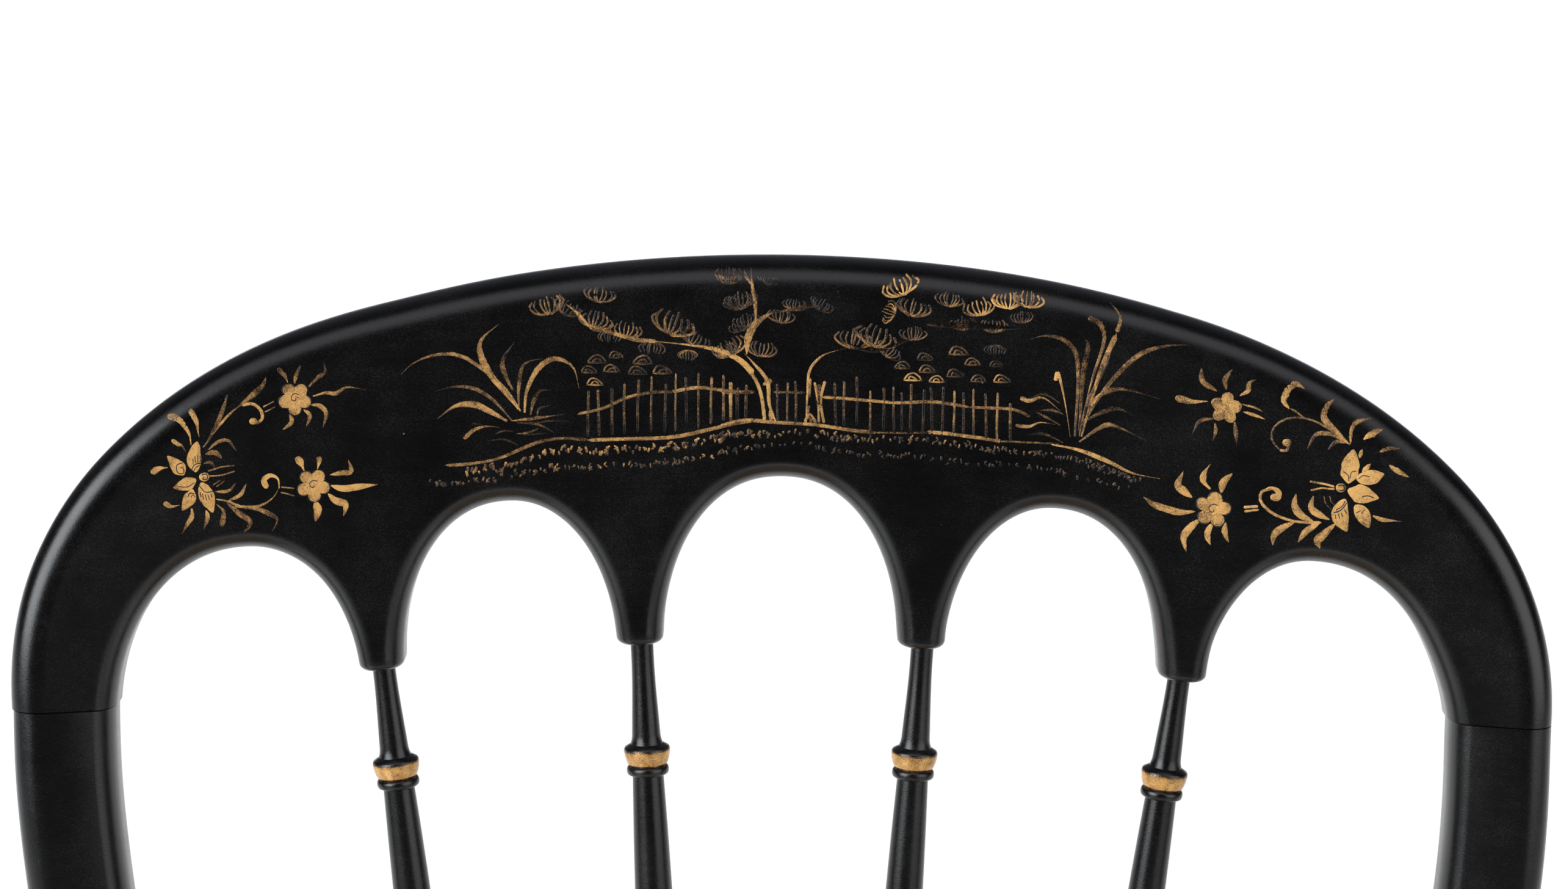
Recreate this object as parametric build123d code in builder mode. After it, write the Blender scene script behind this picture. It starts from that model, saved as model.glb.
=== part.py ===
"""Ebonised side chair with an arched, spindle-filled back and a caned seat.

Millimetres. The chair stands on z = 0 and faces -Y. Left and right are as seen from in
front, so left is -X. Places on the back are given as x, v and n: v runs up the rake from
the joint between crest and posts, and n runs to the rear.
"""

import os
from itertools import product
from math import cos, radians, sin, sqrt

from build123d import *

os.makedirs("parts", exist_ok=True)

# Back: its lean, its bow in plan (hollow side to the front) and its joint with the crest
rake = 10.0
bow_radius = 700.0
joint_height = 732.0
joint_width = 27.1
joint_step = 0.5

# Crest rail: the outline runs through the joint, the shoulder, the brow and the top
crest_thickness = 21.0
crest_half = 205.3
crest_rise = 120.8
shoulder = (180.0, 67.2)
brow = (110.0, 107.5)
crest_edge = 9.5
arch_edge = 5.2
cup_edge = 1.5

# Joint between crest and posts: its middle and inner edge
joint_half = crest_half - joint_width / 2
joint_inner = crest_half - joint_width

# Arches: apex, crown, and the half width and springing on the sides near and far from the middle
centre_arch = {"apex": 0.0, "crown": 61.0, "near": (31.9, 13.0), "far": (31.9, 13.0)}
middle_arch = {"apex": 73.0, "crown": 54.0, "near": (28.3, 10.0), "far": (29.3, 10.0)}
end_arch_apex = 143.0
end_arch = {
    "apex": end_arch_apex,
    "crown": 42.5,
    "near": (28.3, 0.0),
    "far": (joint_inner - end_arch_apex, -6.0),
}

# Spindles: where each axis leaves the crest and meets the lower rail, and its ring's drop
inner_spindle = {"top": (38.4, 15.0), "foot": 26.4, "ring_drop": 32.0}
outer_spindle = {"top": (109.0, 8.5), "foot": 82.7, "ring_drop": 28.5}
socket_depth = 14.0
foot_socket = 12.0
neck_radius = 3.1
neck_base = 4.0
neck_length = 24.0
ring_radius = 6.4
ring_height = 5.5
ring_bulge = 1.2
bead_radius = 5.8
bead_height = 2.6
bead_bulge = 0.7
bead_gap = 0.6
groove_radius = 4.65
shaft_radius = 4.25
shaft_belly = 5.6
spindle_foot = 4.2
low_ring_rise = 24.0
low_neck_radius = 4.5
foot_land = 2.0

# Lower back rail
lower_rail_top = -205.0
lower_rail_height = 27.0
lower_rail_thickness = 17.0
lower_rail_edge = 5.0
lower_tenon_height = 15.0
lower_tenon_thickness = 8.0
lower_tenon_length = 12.0

# Posts: upper part, at the seat and at the foot
waist_half = 147.0
bend_start = 10.0
seat_post_width = 27.0
seat_post_depth = 28.0
seat_post_edge = 4.0
foot_half = 163.0
foot_set_back = 50.0
leg_bend = 0.8
foot_width = 22.0
foot_depth = 23.0
foot_edge = 6.0
crest_dowel_radius = 4.5
crest_dowel_length = 40.0

# Seat frame
seat_height = 452.0
seat_thickness = 25.0
seat_depth = 400.0
seat_front_half = 214.0
side_rail_width = 46.0
front_rail_width = 50.0
back_rail_width = 38.0
seat_front_bow = 10.0
seat_corner = 36.0
seat_edge = 5.0
opening_corner = 20.0
seat_tenon_height = 12.0
side_tenon_width = 14.0
side_tenon_length = 10.0
back_tenon_width = 12.0
back_tenon_length = 9.0
seat_dowel_radius = 4.0
seat_dowel_length = 36.0
seat_dowel_spacing = 14.0
seat_dowel_inset = 17.0

# Cane
cane_lap = 9.0
cane_thickness = 1.6
binder_width = 6.0
binder_thickness = 2.0
peg_radius = 2.2
peg_length = 18.0
peg_spacing = 25.0

# Front legs, from the collar down to the foot
leg_half = 186.0
leg_set_back = 31.0
leg_tenon_radius = 10.0
leg_tenon_length = 19.0
leg_collar = 18.0
leg_ring = 16.5
leg_neck = 11.5
leg_swell = 15.5
leg_block = 14.0
leg_foot = 9.0
leg_ring_height = 7.0
leg_foot_height = 40.0
leg_foot_ring = 42.0
leg_upper_neck = 16.0
leg_swell_drop = 60.0
leg_top_ring_drop = 30.0
leg_collar_height = 10.0
leg_collar_bevel = 4.0

# Stretchers
stretcher_tenon = 5.5
stretcher_socket = 10.0
stretcher_shoulder = 4.0
stretcher_belly = 8.5
stretcher_bead = 10.5
front_upper_height = 240.0
front_lower_height = 140.0
side_upper_height = 205.0
side_lower_height = 105.0
back_stretcher_height = 165.0


# Worked-out places
def bow(x):
    """How far the back's middle surface stands behind the joint line at x."""
    return sqrt(bow_radius**2 - x**2) - sqrt(bow_radius**2 - joint_half**2)


lean = radians(rake)
seat_underside = seat_height - seat_thickness
seat_middle = seat_height - seat_thickness / 2
seat_v = (seat_middle - joint_height + bow(waist_half) * sin(lean)) / cos(lean)
post_reach = seat_v * sin(lean) + bow(waist_half) * cos(lean)
front_reach = seat_depth - post_reach - seat_post_depth / 2
rear_reach = (
    (crest_rise - crest_edge) * sin(lean)
    + (bow(0) + crest_thickness / 2 - crest_edge) * cos(lean)
    + crest_edge
)
joint_y = (front_reach - rear_reach) / 2
front_y = joint_y - front_reach
post_y = joint_y + post_reach
post_front_y = post_y - seat_post_depth / 2
post_outer_x = waist_half + seat_post_width / 2
back_plane = Plane(
    origin=(0, joint_y, joint_height), x_dir=(1, 0, 0), z_dir=(0, -cos(lean), sin(lean))
)
behind_back = back_plane.offset(-bow(0) - 2 * crest_thickness)
through_back = bow(0) + 4 * crest_thickness


def on_back(x, v, n=0.0):
    """World place of a point of the back, n behind the bowed middle surface."""
    return back_plane.from_local_coords(Vector(x, v, -bow(x) - n))


def bow_plane(v):
    """Plane across the rake at height v, centred on the axis of the back's bow."""
    origin = back_plane.from_local_coords(Vector(0, v, bow_radius - bow(0)))
    return Plane(origin=origin, x_dir=(1, 0, 0), z_dir=back_plane.y_dir)


def axis_plane(start, end):
    """Plane whose y axis runs from start to end, for the half profile of a turned piece."""
    along = (end - start).normalized()
    radial = Vector(0, 0, 1) if abs(along.Z) < 0.7 else Vector(1, 0, 0)
    radial = (radial - along * radial.dot(along)).normalized()
    return Plane(origin=start, x_dir=radial, z_dir=radial.cross(along))


def save(piece, name):
    """Label a finished piece and write its STEP file."""
    piece.part.label = name
    export_step(piece.part, f"parts/{name}.step")


# Spindles
def ring_and_bead(start, ring_middle, direction):
    """Half outlines of the gilt ring and of the bead beside it, towards direction."""
    half = direction * ring_height / 2
    bead_near = ring_middle + half + direction * bead_gap
    bead_far = bead_near + direction * bead_height
    flank = ring_radius - ring_bulge
    shoulder_radius = bead_radius - bead_bulge
    rise = Line(start, (flank, ring_middle - half))
    ring = ThreePointArc(rise @ 1, (ring_radius, ring_middle), (flank, ring_middle + half))
    gap = Polyline(
        ring @ 1,
        (groove_radius, ring_middle + half),
        (groove_radius, bead_near),
        (shoulder_radius, bead_near),
    )
    middle = (bead_near + bead_far) / 2
    bead = ThreePointArc(gap @ 1, (bead_radius, middle), (shoulder_radius, bead_far))
    return Line(bead @ 1, (shaft_radius, bead_far))


def turn_spindle(spindle, side):
    """A turned spindle; heights in its profile count down the axis from the crest's cup."""
    top_x, top_v = spindle["top"]
    cup = on_back(side * top_x, top_v)
    foot = on_back(side * spindle["foot"], lower_rail_top)
    plane = axis_plane(cup, foot)
    length = (foot - cup).length
    ring_middle = spindle["ring_drop"]
    ring_start = ring_middle - ring_height / 2
    low_ring = length - low_ring_rise
    with BuildPart() as piece:
        with BuildSketch(plane):
            with BuildLine():
                middle_line = Line((0, length + foot_socket), (0, -socket_depth))
                neck_top = max(ring_start - neck_length, 1)
                tenon = Polyline(
                    middle_line @ 1, (neck_radius, -socket_depth), (neck_radius, neck_top)
                )
                neck = Spline(tenon @ 1, (neck_base, ring_start), tangents=[(0, 1), (0.15, 1)])
                upper = ring_and_bead(neck @ 1, ring_middle, 1)
                foot_line = Polyline(
                    middle_line @ 0,
                    (spindle_foot, length + foot_socket),
                    (spindle_foot, length - foot_land),
                )
                low_neck = Spline(
                    foot_line @ 1,
                    (low_neck_radius, low_ring + ring_height / 2),
                    tangents=[(0, -1), (0.15, -1)],
                )
                lower = ring_and_bead(low_neck @ 1, low_ring, -1)
                shaft_middle = ((upper @ 1).Y + (lower @ 1).Y) / 2
                Spline(upper @ 1, (shaft_belly, shaft_middle), lower @ 1)
            make_face()
        revolve(axis=Axis(plane.origin, plane.y_dir))
    return piece


spindles = {
    "spindle_1": turn_spindle(outer_spindle, -1),
    "spindle_2": turn_spindle(inner_spindle, -1),
    "spindle_3": turn_spindle(inner_spindle, 1),
    "spindle_4": turn_spindle(outer_spindle, 1),
}


# Crest rail
def face_on(edge):
    """Whether an edge of the crest runs along its front or back face, clear of the joint."""
    above_joint = edge.center().Z > joint_height + 3
    return above_joint and abs((edge % 0.5).dot(back_plane.z_dir)) < 0.9


with BuildPart() as crest_rail:
    with BuildSketch(bow_plane(0)):
        Circle(bow_radius + crest_thickness / 2)
        Circle(bow_radius - crest_thickness / 2, mode=Mode.SUBTRACT)
    extrude(amount=2 * crest_rise)
    with BuildSketch(behind_back):
        with BuildLine():
            top = ThreePointArc((-brow[0], brow[1]), (0, crest_rise), brow)
            right_brow = TangentArc(top @ 1, shoulder, tangent=top % 1)
            right_shoulder = TangentArc(right_brow @ 1, (crest_half, 0), tangent=right_brow % 1)
            left_brow = TangentArc(top @ 0, (-shoulder[0], shoulder[1]), tangent=-(top % 0))
            left_shoulder = TangentArc(left_brow @ 1, (-crest_half, 0), tangent=left_brow % 1)
            Line(left_shoulder @ 1, right_shoulder @ 1)
        make_face()
    extrude(amount=through_back, mode=Mode.INTERSECT)
    fillet(crest_rail.edges().filter_by(face_on), crest_edge)
    with BuildSketch(behind_back):
        for arch, side in product((centre_arch, middle_arch, end_arch), (-1, 1)):
            for half, direction in (("near", -side), ("far", side)):
                half_width, springing = arch[half]
                apex = side * arch["apex"]
                foot_x = apex + direction * half_width
                with BuildLine():
                    curve = EllipticalCenterArc(
                        (apex, springing),
                        half_width,
                        arch["crown"] - springing,
                        0 if direction > 0 else 90,
                        arc_size=90,
                    )
                    below = min(springing, 0) - arch_edge
                    crown_end = (curve @ 1, curve @ 0)[direction < 0]
                    foot_end = (curve @ 0, curve @ 1)[direction < 0]
                    Polyline(crown_end, (apex, below), (foot_x, below), foot_end)
                make_face()
    extrude(amount=through_back, mode=Mode.SUBTRACT)
    fillet(crest_rail.edges(Select.LAST).filter_by(face_on), arch_edge)
    for spindle in (inner_spindle, outer_spindle):
        for side in (-1, 1):
            cup = on_back(side * spindle["top"][0], spindle["top"][1])
            foot = on_back(side * spindle["foot"], lower_rail_top)
            with BuildSketch(Plane(origin=cup, x_dir=(1, 0, 0), z_dir=foot - cup)):
                Rectangle(centre_arch["far"][0], 3 * crest_thickness)
            extrude(amount=2 * spindle["top"][1], mode=Mode.SUBTRACT)
            cup_face = crest_rail.faces().sort_by(lambda face: (face.center() - cup).length)[0]
            fillet(cup_face.edges(), cup_edge)
    for spindle in spindles.values():
        add(spindle.part, mode=Mode.SUBTRACT)


# Posts
def ease(share):
    """Smooth rise from 0 to 1."""
    share = min(max(share, 0.0), 1.0)
    return share * share * (3 - 2 * share)


def mix(start, end, share):
    """Value between start and end."""
    return start + (end - start) * share


def post_station(v):
    """Plane, width, depth, skew and edges of the right post at height v, above the seat."""
    share = v / seat_v
    x = mix(joint_half, waist_half, ease((-v - bend_start) / (-seat_v - bend_start)))
    tilt = lean * (1 - ease(2 * share - 1))
    plane = Plane(origin=on_back(x, v), x_dir=(1, 0, 0), z_dir=(0, sin(tilt), cos(tilt)))
    width = mix(joint_width - 2 * joint_step, seat_post_width, share)
    depth = mix(crest_thickness - 2 * joint_step, seat_post_depth, ease(share))
    skew = x / sqrt(bow_radius**2 - x**2) * (1 - share)
    outer_edge = mix(crest_edge, seat_post_edge, share)
    inner_edge = mix(arch_edge, seat_post_edge, share)
    return plane, width, depth, skew, outer_edge, inner_edge


def leg_centre(height):
    """Centre of the right back leg at a height below the seat."""
    share = 1 - height / seat_middle
    forward = seat_middle * sin(lean) * leg_bend
    y = (
        post_y
        - forward * share * (1 - share) ** 2
        + foot_set_back * (3 - 2 * share) * share**2
        - 2 * foot_set_back * (1 - share) * share**2
    )
    return Vector(mix(waist_half, foot_half, share * share), y, height)


def leg_station(share):
    """The same as post_station, share of the way from the seat to the floor."""
    plane = Plane(origin=leg_centre(seat_middle * (1 - share)), x_dir=(1, 0, 0), z_dir=(0, 0, 1))
    width = mix(seat_post_width, foot_width, share)
    depth = mix(seat_post_depth, foot_depth, share)
    edge = mix(seat_post_edge, foot_edge, share)
    return plane, width, depth, 0.0, edge, edge


upper_steps = 7
leg_steps = 6
stations = [post_station(seat_v * step / upper_steps) for step in range(upper_steps)]
stations += [leg_station(step / leg_steps) for step in range(leg_steps + 1)]

with BuildPart() as post_blank:
    for plane, width, depth, skew, outer_edge, inner_edge in stations:
        half_width = width / 2
        half_depth = depth / 2
        shift = skew * half_width
        largest_edge = 0.46 * min(width, depth)
        with BuildSketch(plane) as section:
            with BuildLine():
                Polyline(
                    (-half_width, -half_depth + shift),
                    (half_width, -half_depth - shift),
                    (half_width, half_depth - shift),
                    (-half_width, half_depth + shift),
                    close=True,
                )
            make_face()
            fillet(section.vertices().sort_by(Axis.X)[2:], min(outer_edge, largest_edge))
            fillet(section.vertices().sort_by(Axis.X)[:2], min(inner_edge, largest_edge))
    loft()

with BuildPart() as left_post_blank:
    mirror(post_blank.part, about=Plane.YZ)

# Dowels in the joints between crest and posts
crest_dowels = {}
for name, side in (("crest_dowel_left", -1), ("crest_dowel_right", 1)):
    with BuildPart() as dowel:
        start = on_back(side * joint_half, -crest_dowel_length / 2)
        with BuildSketch(Plane(origin=start, x_dir=(1, 0, 0), z_dir=back_plane.y_dir)):
            Circle(crest_dowel_radius)
        extrude(amount=crest_dowel_length)
    crest_dowels[name] = dowel

with BuildPart() as crest_rail_finished:
    add(crest_rail.part)
    for dowel in crest_dowels.values():
        add(dowel.part, mode=Mode.SUBTRACT)

# Lower back rail: a bowed bar scribed between the posts, its tenons the bar's own core
lower_rail_bottom = lower_rail_top - lower_rail_height
lower_rail_middle = lower_rail_top - lower_rail_height / 2
rail_plane, rail_post_width = post_station(lower_rail_middle)[:2]
rail_post_x = back_plane.to_local_coords(rail_plane.origin).X
lower_tenon_half = rail_post_x - rail_post_width / 2 + lower_tenon_length

with BuildPart() as lower_back_rail:
    with BuildSketch(bow_plane(lower_rail_bottom)):
        with Locations((0, bow_radius)):
            Rectangle(2 * rail_post_x, bow_radius)
        Circle(bow_radius + lower_rail_thickness / 2, mode=Mode.INTERSECT)
        Circle(bow_radius - lower_rail_thickness / 2, mode=Mode.SUBTRACT)
    extrude(amount=lower_rail_height)
    fillet(lower_back_rail.edges().sort_by(SortBy.LENGTH)[-4:], lower_rail_edge)
    add(post_blank.part, mode=Mode.SUBTRACT)
    add(left_post_blank.part, mode=Mode.SUBTRACT)
    with BuildSketch(bow_plane(lower_rail_middle - lower_tenon_height / 2)):
        with Locations((0, bow_radius)):
            Rectangle(2 * lower_tenon_half, bow_radius)
        Circle(bow_radius + lower_tenon_thickness / 2, mode=Mode.INTERSECT)
        Circle(bow_radius - lower_tenon_thickness / 2, mode=Mode.SUBTRACT)
    extrude(amount=lower_tenon_height)
    for spindle in spindles.values():
        add(spindle.part, mode=Mode.SUBTRACT)

# Seat frame: outline and opening in plan, then four rails with their joints
corner_y = front_y + seat_front_bow
opening_front_y = front_y + front_rail_width
rail_joint_y = opening_front_y + opening_corner
side_slope = (seat_front_half - post_outer_x) / (post_front_y - corner_y)
side_skew = sqrt(1 + side_slope**2)
scribe = 5.0


def outer_half(y):
    """Half width of the seat at y."""
    return post_outer_x + side_slope * (post_front_y - y)


def opening_half(y):
    """Half width of the caned opening at y."""
    return outer_half(y) - side_rail_width * side_skew


def opening_corners(back_y):
    """Corners of the opening, its sides carried on to back_y."""
    return [
        (-opening_half(opening_front_y), opening_front_y),
        (opening_half(opening_front_y), opening_front_y),
        (opening_half(back_y), back_y),
        (-opening_half(back_y), back_y),
    ]


with BuildSketch() as seat_outline:
    with BuildLine():
        front_arc = ThreePointArc(
            (-outer_half(corner_y), corner_y), (0, front_y), (outer_half(corner_y), corner_y)
        )
        seat_back_y = post_front_y + scribe
        Polyline(
            front_arc @ 1,
            (outer_half(seat_back_y), seat_back_y),
            (-outer_half(seat_back_y), seat_back_y),
            front_arc @ 0,
        )
    make_face()
    fillet(seat_outline.vertices().sort_by(Axis.Y)[:2], seat_corner)

with BuildSketch() as frame_opening:
    with BuildLine():
        Polyline(*opening_corners(seat_back_y + scribe), close=True)
    make_face()
    fillet(frame_opening.vertices().sort_by(Axis.Y)[:2], opening_corner)

with BuildSketch() as cane_opening:
    with BuildLine():
        Polyline(*opening_corners(post_front_y), close=True)
    make_face()
    fillet(cane_opening.vertices().sort_by(Axis.Y)[:2], opening_corner)

with BuildSketch() as cane_outline:
    add(cane_opening.sketch_local)
    offset(amount=cane_lap)

with BuildSketch() as binder_outline:
    add(cane_opening.sketch_local)
    offset(amount=cane_lap + binder_width)

with BuildSketch() as hole_line:
    add(cane_opening.sketch_local)
    offset(amount=cane_lap + binder_width / 2)

hole_wire = hole_line.sketch_local.face().outer_wire()
peg_count = round(hole_wire.length / peg_spacing)
hole_places = [hole_wire.position_at(number / (2 * peg_count)) for number in range(2 * peg_count)]

with BuildPart() as cane_hole_tools:
    with BuildSketch(Plane.XY.offset(seat_height)):
        with Locations(*hole_places):
            Circle(peg_radius)
    extrude(amount=-seat_thickness)

with BuildPart() as cane_pegs:
    with BuildSketch(Plane.XY.offset(seat_height)):
        with Locations(*hole_places[::2]):
            Circle(peg_radius)
    extrude(amount=-peg_length)

with BuildPart() as cane_panel:
    with BuildSketch(Plane.XY.offset(seat_height)):
        add(cane_outline.sketch_local)
    extrude(amount=cane_thickness)

with BuildPart() as cane_binder:
    with BuildSketch(Plane.XY.offset(seat_height)):
        add(binder_outline.sketch_local)
        add(cane_outline.sketch_local, mode=Mode.SUBTRACT)
    extrude(amount=binder_thickness)

with BuildPart() as seat_frame:
    with BuildSketch(Plane.XY.offset(seat_underside)):
        add(seat_outline.sketch_local)
    extrude(amount=seat_thickness)
    rim = seat_frame.edges().filter_by(Axis.Z, reverse=True)
    fillet(rim.filter_by(lambda edge: edge.center().Y < post_front_y), seat_edge)
    with BuildSketch(Plane.XY.offset(seat_underside)):
        add(frame_opening.sketch_local)
    extrude(amount=seat_thickness, mode=Mode.SUBTRACT)

with BuildPart() as seat_rail_back:
    back_half = waist_half - seat_post_width / 2 + scribe
    with BuildSketch(Plane.XY.offset(seat_underside)):
        with Locations((0, post_front_y + back_rail_width / 2)):
            Rectangle(2 * back_half, back_rail_width)
    extrude(amount=seat_thickness)
    fillet(seat_rail_back.edges().filter_by(Axis.X).group_by(Axis.Y)[-1], seat_edge)
    add(post_blank.part, mode=Mode.SUBTRACT)
    add(left_post_blank.part, mode=Mode.SUBTRACT)
    with BuildSketch(Plane.XY.offset(seat_middle - seat_tenon_height / 2)):
        with Locations((0, post_front_y + back_rail_width / 2)):
            tenon_half = waist_half - seat_post_width / 2 + back_tenon_length
            Rectangle(2 * tenon_half, back_tenon_width)
    extrude(amount=seat_tenon_height)
    add(cane_hole_tools.part, mode=Mode.SUBTRACT)

front_cut = Plane(origin=(0, rail_joint_y, 0), x_dir=(1, 0, 0), z_dir=(0, 1, 0))
dowel_line = outer_half(rail_joint_y) - seat_dowel_inset
seat_dowel_places = [
    Vector(side * (dowel_line + offset_x), rail_joint_y - seat_dowel_length / 2, seat_middle)
    for side, offset_x in product((-1, 1), (-seat_dowel_spacing / 2, seat_dowel_spacing / 2))
]

with BuildPart() as seat_dowels:
    for place in seat_dowel_places:
        with BuildSketch(Plane(origin=place, x_dir=(1, 0, 0), z_dir=(0, 1, 0))):
            Circle(seat_dowel_radius)
        extrude(amount=seat_dowel_length)

post_blanks = {"left": left_post_blank, "right": post_blank}
side_rails = {}
for name, side in (("left", -1), ("right", 1)):
    with BuildPart() as side_rail:
        add(seat_frame.part)
        split(bisect_by=front_cut, keep=Keep.TOP)
        split(bisect_by=Plane.YZ, keep=Keep.TOP if side > 0 else Keep.BOTTOM)
        add(post_blanks[name].part, mode=Mode.SUBTRACT)
        add(seat_rail_back.part, mode=Mode.SUBTRACT)
        with BuildSketch(Plane.XY.offset(seat_middle - seat_tenon_height / 2)):
            with Locations((side * waist_half, post_front_y)):
                Rectangle(side_tenon_width, 2 * side_tenon_length)
        extrude(amount=seat_tenon_height)
        add(cane_hole_tools.part, mode=Mode.SUBTRACT)
        add(seat_dowels.part, mode=Mode.SUBTRACT)
    side_rails[name] = side_rail

# Front legs: the half profile runs from the floor up to the tenon
leg_y = front_y + leg_set_back
lower_block = (side_lower_height - leg_block, front_lower_height + leg_block)
upper_block = (side_upper_height - leg_block, front_upper_height + leg_block)


def turned_ring(start, ring_base):
    """Half outline of a leg's ring, standing on the neck at ring_base."""
    flank = (leg_neck + leg_ring) / 2
    step = Line(start, (flank, ring_base))
    middle = (leg_ring, ring_base + leg_ring_height / 2)
    ring = ThreePointArc(step @ 1, middle, (flank, ring_base + leg_ring_height))
    return Line(ring @ 1, (leg_neck, ring_base + leg_ring_height))


front_legs = {}
for name, side in (("front_leg_left", -1), ("front_leg_right", 1)):
    leg_plane = Plane(origin=(side * leg_half, leg_y, 0), x_dir=(1, 0, 0), z_dir=(0, -1, 0))
    with BuildPart() as leg:
        with BuildSketch(leg_plane):
            with BuildLine():
                base = Line((0, 0), (leg_foot, 0))
                foot_curve = Spline(
                    base @ 1, (leg_neck, leg_foot_height), tangents=[(0.3, 1), (0, 1)]
                )
                foot_ring = turned_ring(foot_curve @ 1, leg_foot_ring)
                lower_curve = Spline(
                    foot_ring @ 1, (leg_block, lower_block[0]), tangents=[(0, 1), (0, 1)]
                )
                lower_side = Line(lower_curve @ 1, (leg_block, lower_block[1]))
                ring_base = (lower_block[1] + upper_block[0] - leg_ring_height) / 2
                lower_neck = Spline(
                    lower_side @ 1, (leg_neck, ring_base), tangents=[(0, 1), (0, 1)]
                )
                middle_ring = turned_ring(lower_neck @ 1, ring_base)
                upper_curve = Spline(
                    middle_ring @ 1, (leg_block, upper_block[0]), tangents=[(0, 1), (0, 1)]
                )
                upper_side = Line(upper_curve @ 1, (leg_block, upper_block[1]))
                upper_ring_base = upper_block[1] + leg_upper_neck
                upper_neck = Spline(
                    upper_side @ 1, (leg_neck, upper_ring_base), tangents=[(0, 1), (0, 1)]
                )
                upper_ring = turned_ring(upper_neck @ 1, upper_ring_base)
                top_ring_base = seat_underside - leg_top_ring_drop
                swell = Spline(
                    upper_ring @ 1,
                    (leg_swell, seat_underside - leg_swell_drop),
                    (leg_neck, top_ring_base),
                )
                top_ring = turned_ring(swell @ 1, top_ring_base)
                collar_base = seat_underside - leg_collar_height
                Polyline(
                    top_ring @ 1,
                    (leg_collar - leg_collar_bevel / 2, collar_base - leg_collar_bevel),
                    (leg_collar, collar_base),
                    (leg_collar, seat_underside),
                    (leg_tenon_radius, seat_underside),
                    (leg_tenon_radius, seat_underside + leg_tenon_length),
                    (0, seat_underside + leg_tenon_length),
                    (0, 0),
                )
            make_face()
        revolve(axis=Axis((side * leg_half, leg_y, 0), (0, 0, 1)))
    front_legs[name] = leg

with BuildPart() as seat_rail_front:
    add(seat_frame.part)
    split(bisect_by=front_cut, keep=Keep.BOTTOM)
    add(cane_hole_tools.part, mode=Mode.SUBTRACT)
    add(seat_dowels.part, mode=Mode.SUBTRACT)
    for leg in front_legs.values():
        add(leg.part, mode=Mode.SUBTRACT)


# Stretchers
def turn_stretcher(start, end, beads):
    """A round stretcher between two leg centres, its tenons stretcher_socket deep."""
    along = (end - start).normalized()
    near = start + along * (leg_block - stretcher_socket)
    far = end - along * (foot_depth / 2 - stretcher_socket)
    plane = axis_plane(near, far)
    length = (far - near).length
    middle = length / 2
    tenon = stretcher_socket + stretcher_shoulder
    with BuildPart() as piece:
        with BuildSketch(plane):
            with BuildLine():
                middle_line = Line((0, length), (0, 0))
                first = Polyline((0, 0), (stretcher_tenon, 0), (stretcher_tenon, tenon))
                last = Polyline(
                    (0, length), (stretcher_tenon, length), (stretcher_tenon, length - tenon)
                )
                reach = beads * leg_ring_height / 2
                rise = Spline(
                    first @ 1,
                    (stretcher_belly, middle - reach),
                    tangents=[(0.05, 1), (0, 1)],
                )
                fall = Spline(
                    last @ 1,
                    (stretcher_belly, middle + reach),
                    tangents=[(0.05, -1), (0, -1)],
                )
                place = rise @ 1
                for number in range(beads):
                    bead_end = middle - reach + (number + 1) * leg_ring_height
                    bead_middle = bead_end - leg_ring_height / 2
                    bead = ThreePointArc(
                        place, (stretcher_bead, bead_middle), (stretcher_belly, bead_end)
                    )
                    place = bead @ 1
            make_face()
        revolve(axis=Axis(plane.origin, plane.y_dir))
    return piece


def front_leg_centre(side, height):
    """Centre of a front leg at a height."""
    return Vector(side * leg_half, leg_y, height)


def back_leg_centre(side, height):
    """Centre of a back leg at a height."""
    centre = leg_centre(height)
    return Vector(side * centre.X, centre.Y, height)


stretchers = {
    "front_stretcher_upper": turn_stretcher(
        front_leg_centre(-1, front_upper_height), front_leg_centre(1, front_upper_height), 3
    ),
    "front_stretcher_lower": turn_stretcher(
        front_leg_centre(-1, front_lower_height), front_leg_centre(1, front_lower_height), 3
    ),
    "back_stretcher": turn_stretcher(
        back_leg_centre(-1, back_stretcher_height), back_leg_centre(1, back_stretcher_height), 0
    ),
}
for side_name, side in (("left", -1), ("right", 1)):
    for level, height in (("upper", side_upper_height), ("lower", side_lower_height)):
        stretchers[f"side_stretcher_{side_name}_{level}"] = turn_stretcher(
            front_leg_centre(side, height), back_leg_centre(side, height), 0
        )

# Sockets, then the finished pieces
with BuildPart() as stile_right:
    add(post_blank.part)
    add(side_rails["right"].part, mode=Mode.SUBTRACT)
    add(seat_rail_back.part, mode=Mode.SUBTRACT)
    add(lower_back_rail.part, mode=Mode.SUBTRACT)
    add(crest_dowels["crest_dowel_right"].part, mode=Mode.SUBTRACT)
    add(stretchers["back_stretcher"].part, mode=Mode.SUBTRACT)
    add(stretchers["side_stretcher_right_upper"].part, mode=Mode.SUBTRACT)
    add(stretchers["side_stretcher_right_lower"].part, mode=Mode.SUBTRACT)

with BuildPart() as stile_left:
    mirror(stile_right.part, about=Plane.YZ)

for name, side in (("front_leg_left", "left"), ("front_leg_right", "right")):
    with BuildPart() as leg:
        add(front_legs[name].part)
        add(stretchers["front_stretcher_upper"].part, mode=Mode.SUBTRACT)
        add(stretchers["front_stretcher_lower"].part, mode=Mode.SUBTRACT)
        add(stretchers[f"side_stretcher_{side}_upper"].part, mode=Mode.SUBTRACT)
        add(stretchers[f"side_stretcher_{side}_lower"].part, mode=Mode.SUBTRACT)
    save(leg, name)

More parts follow.
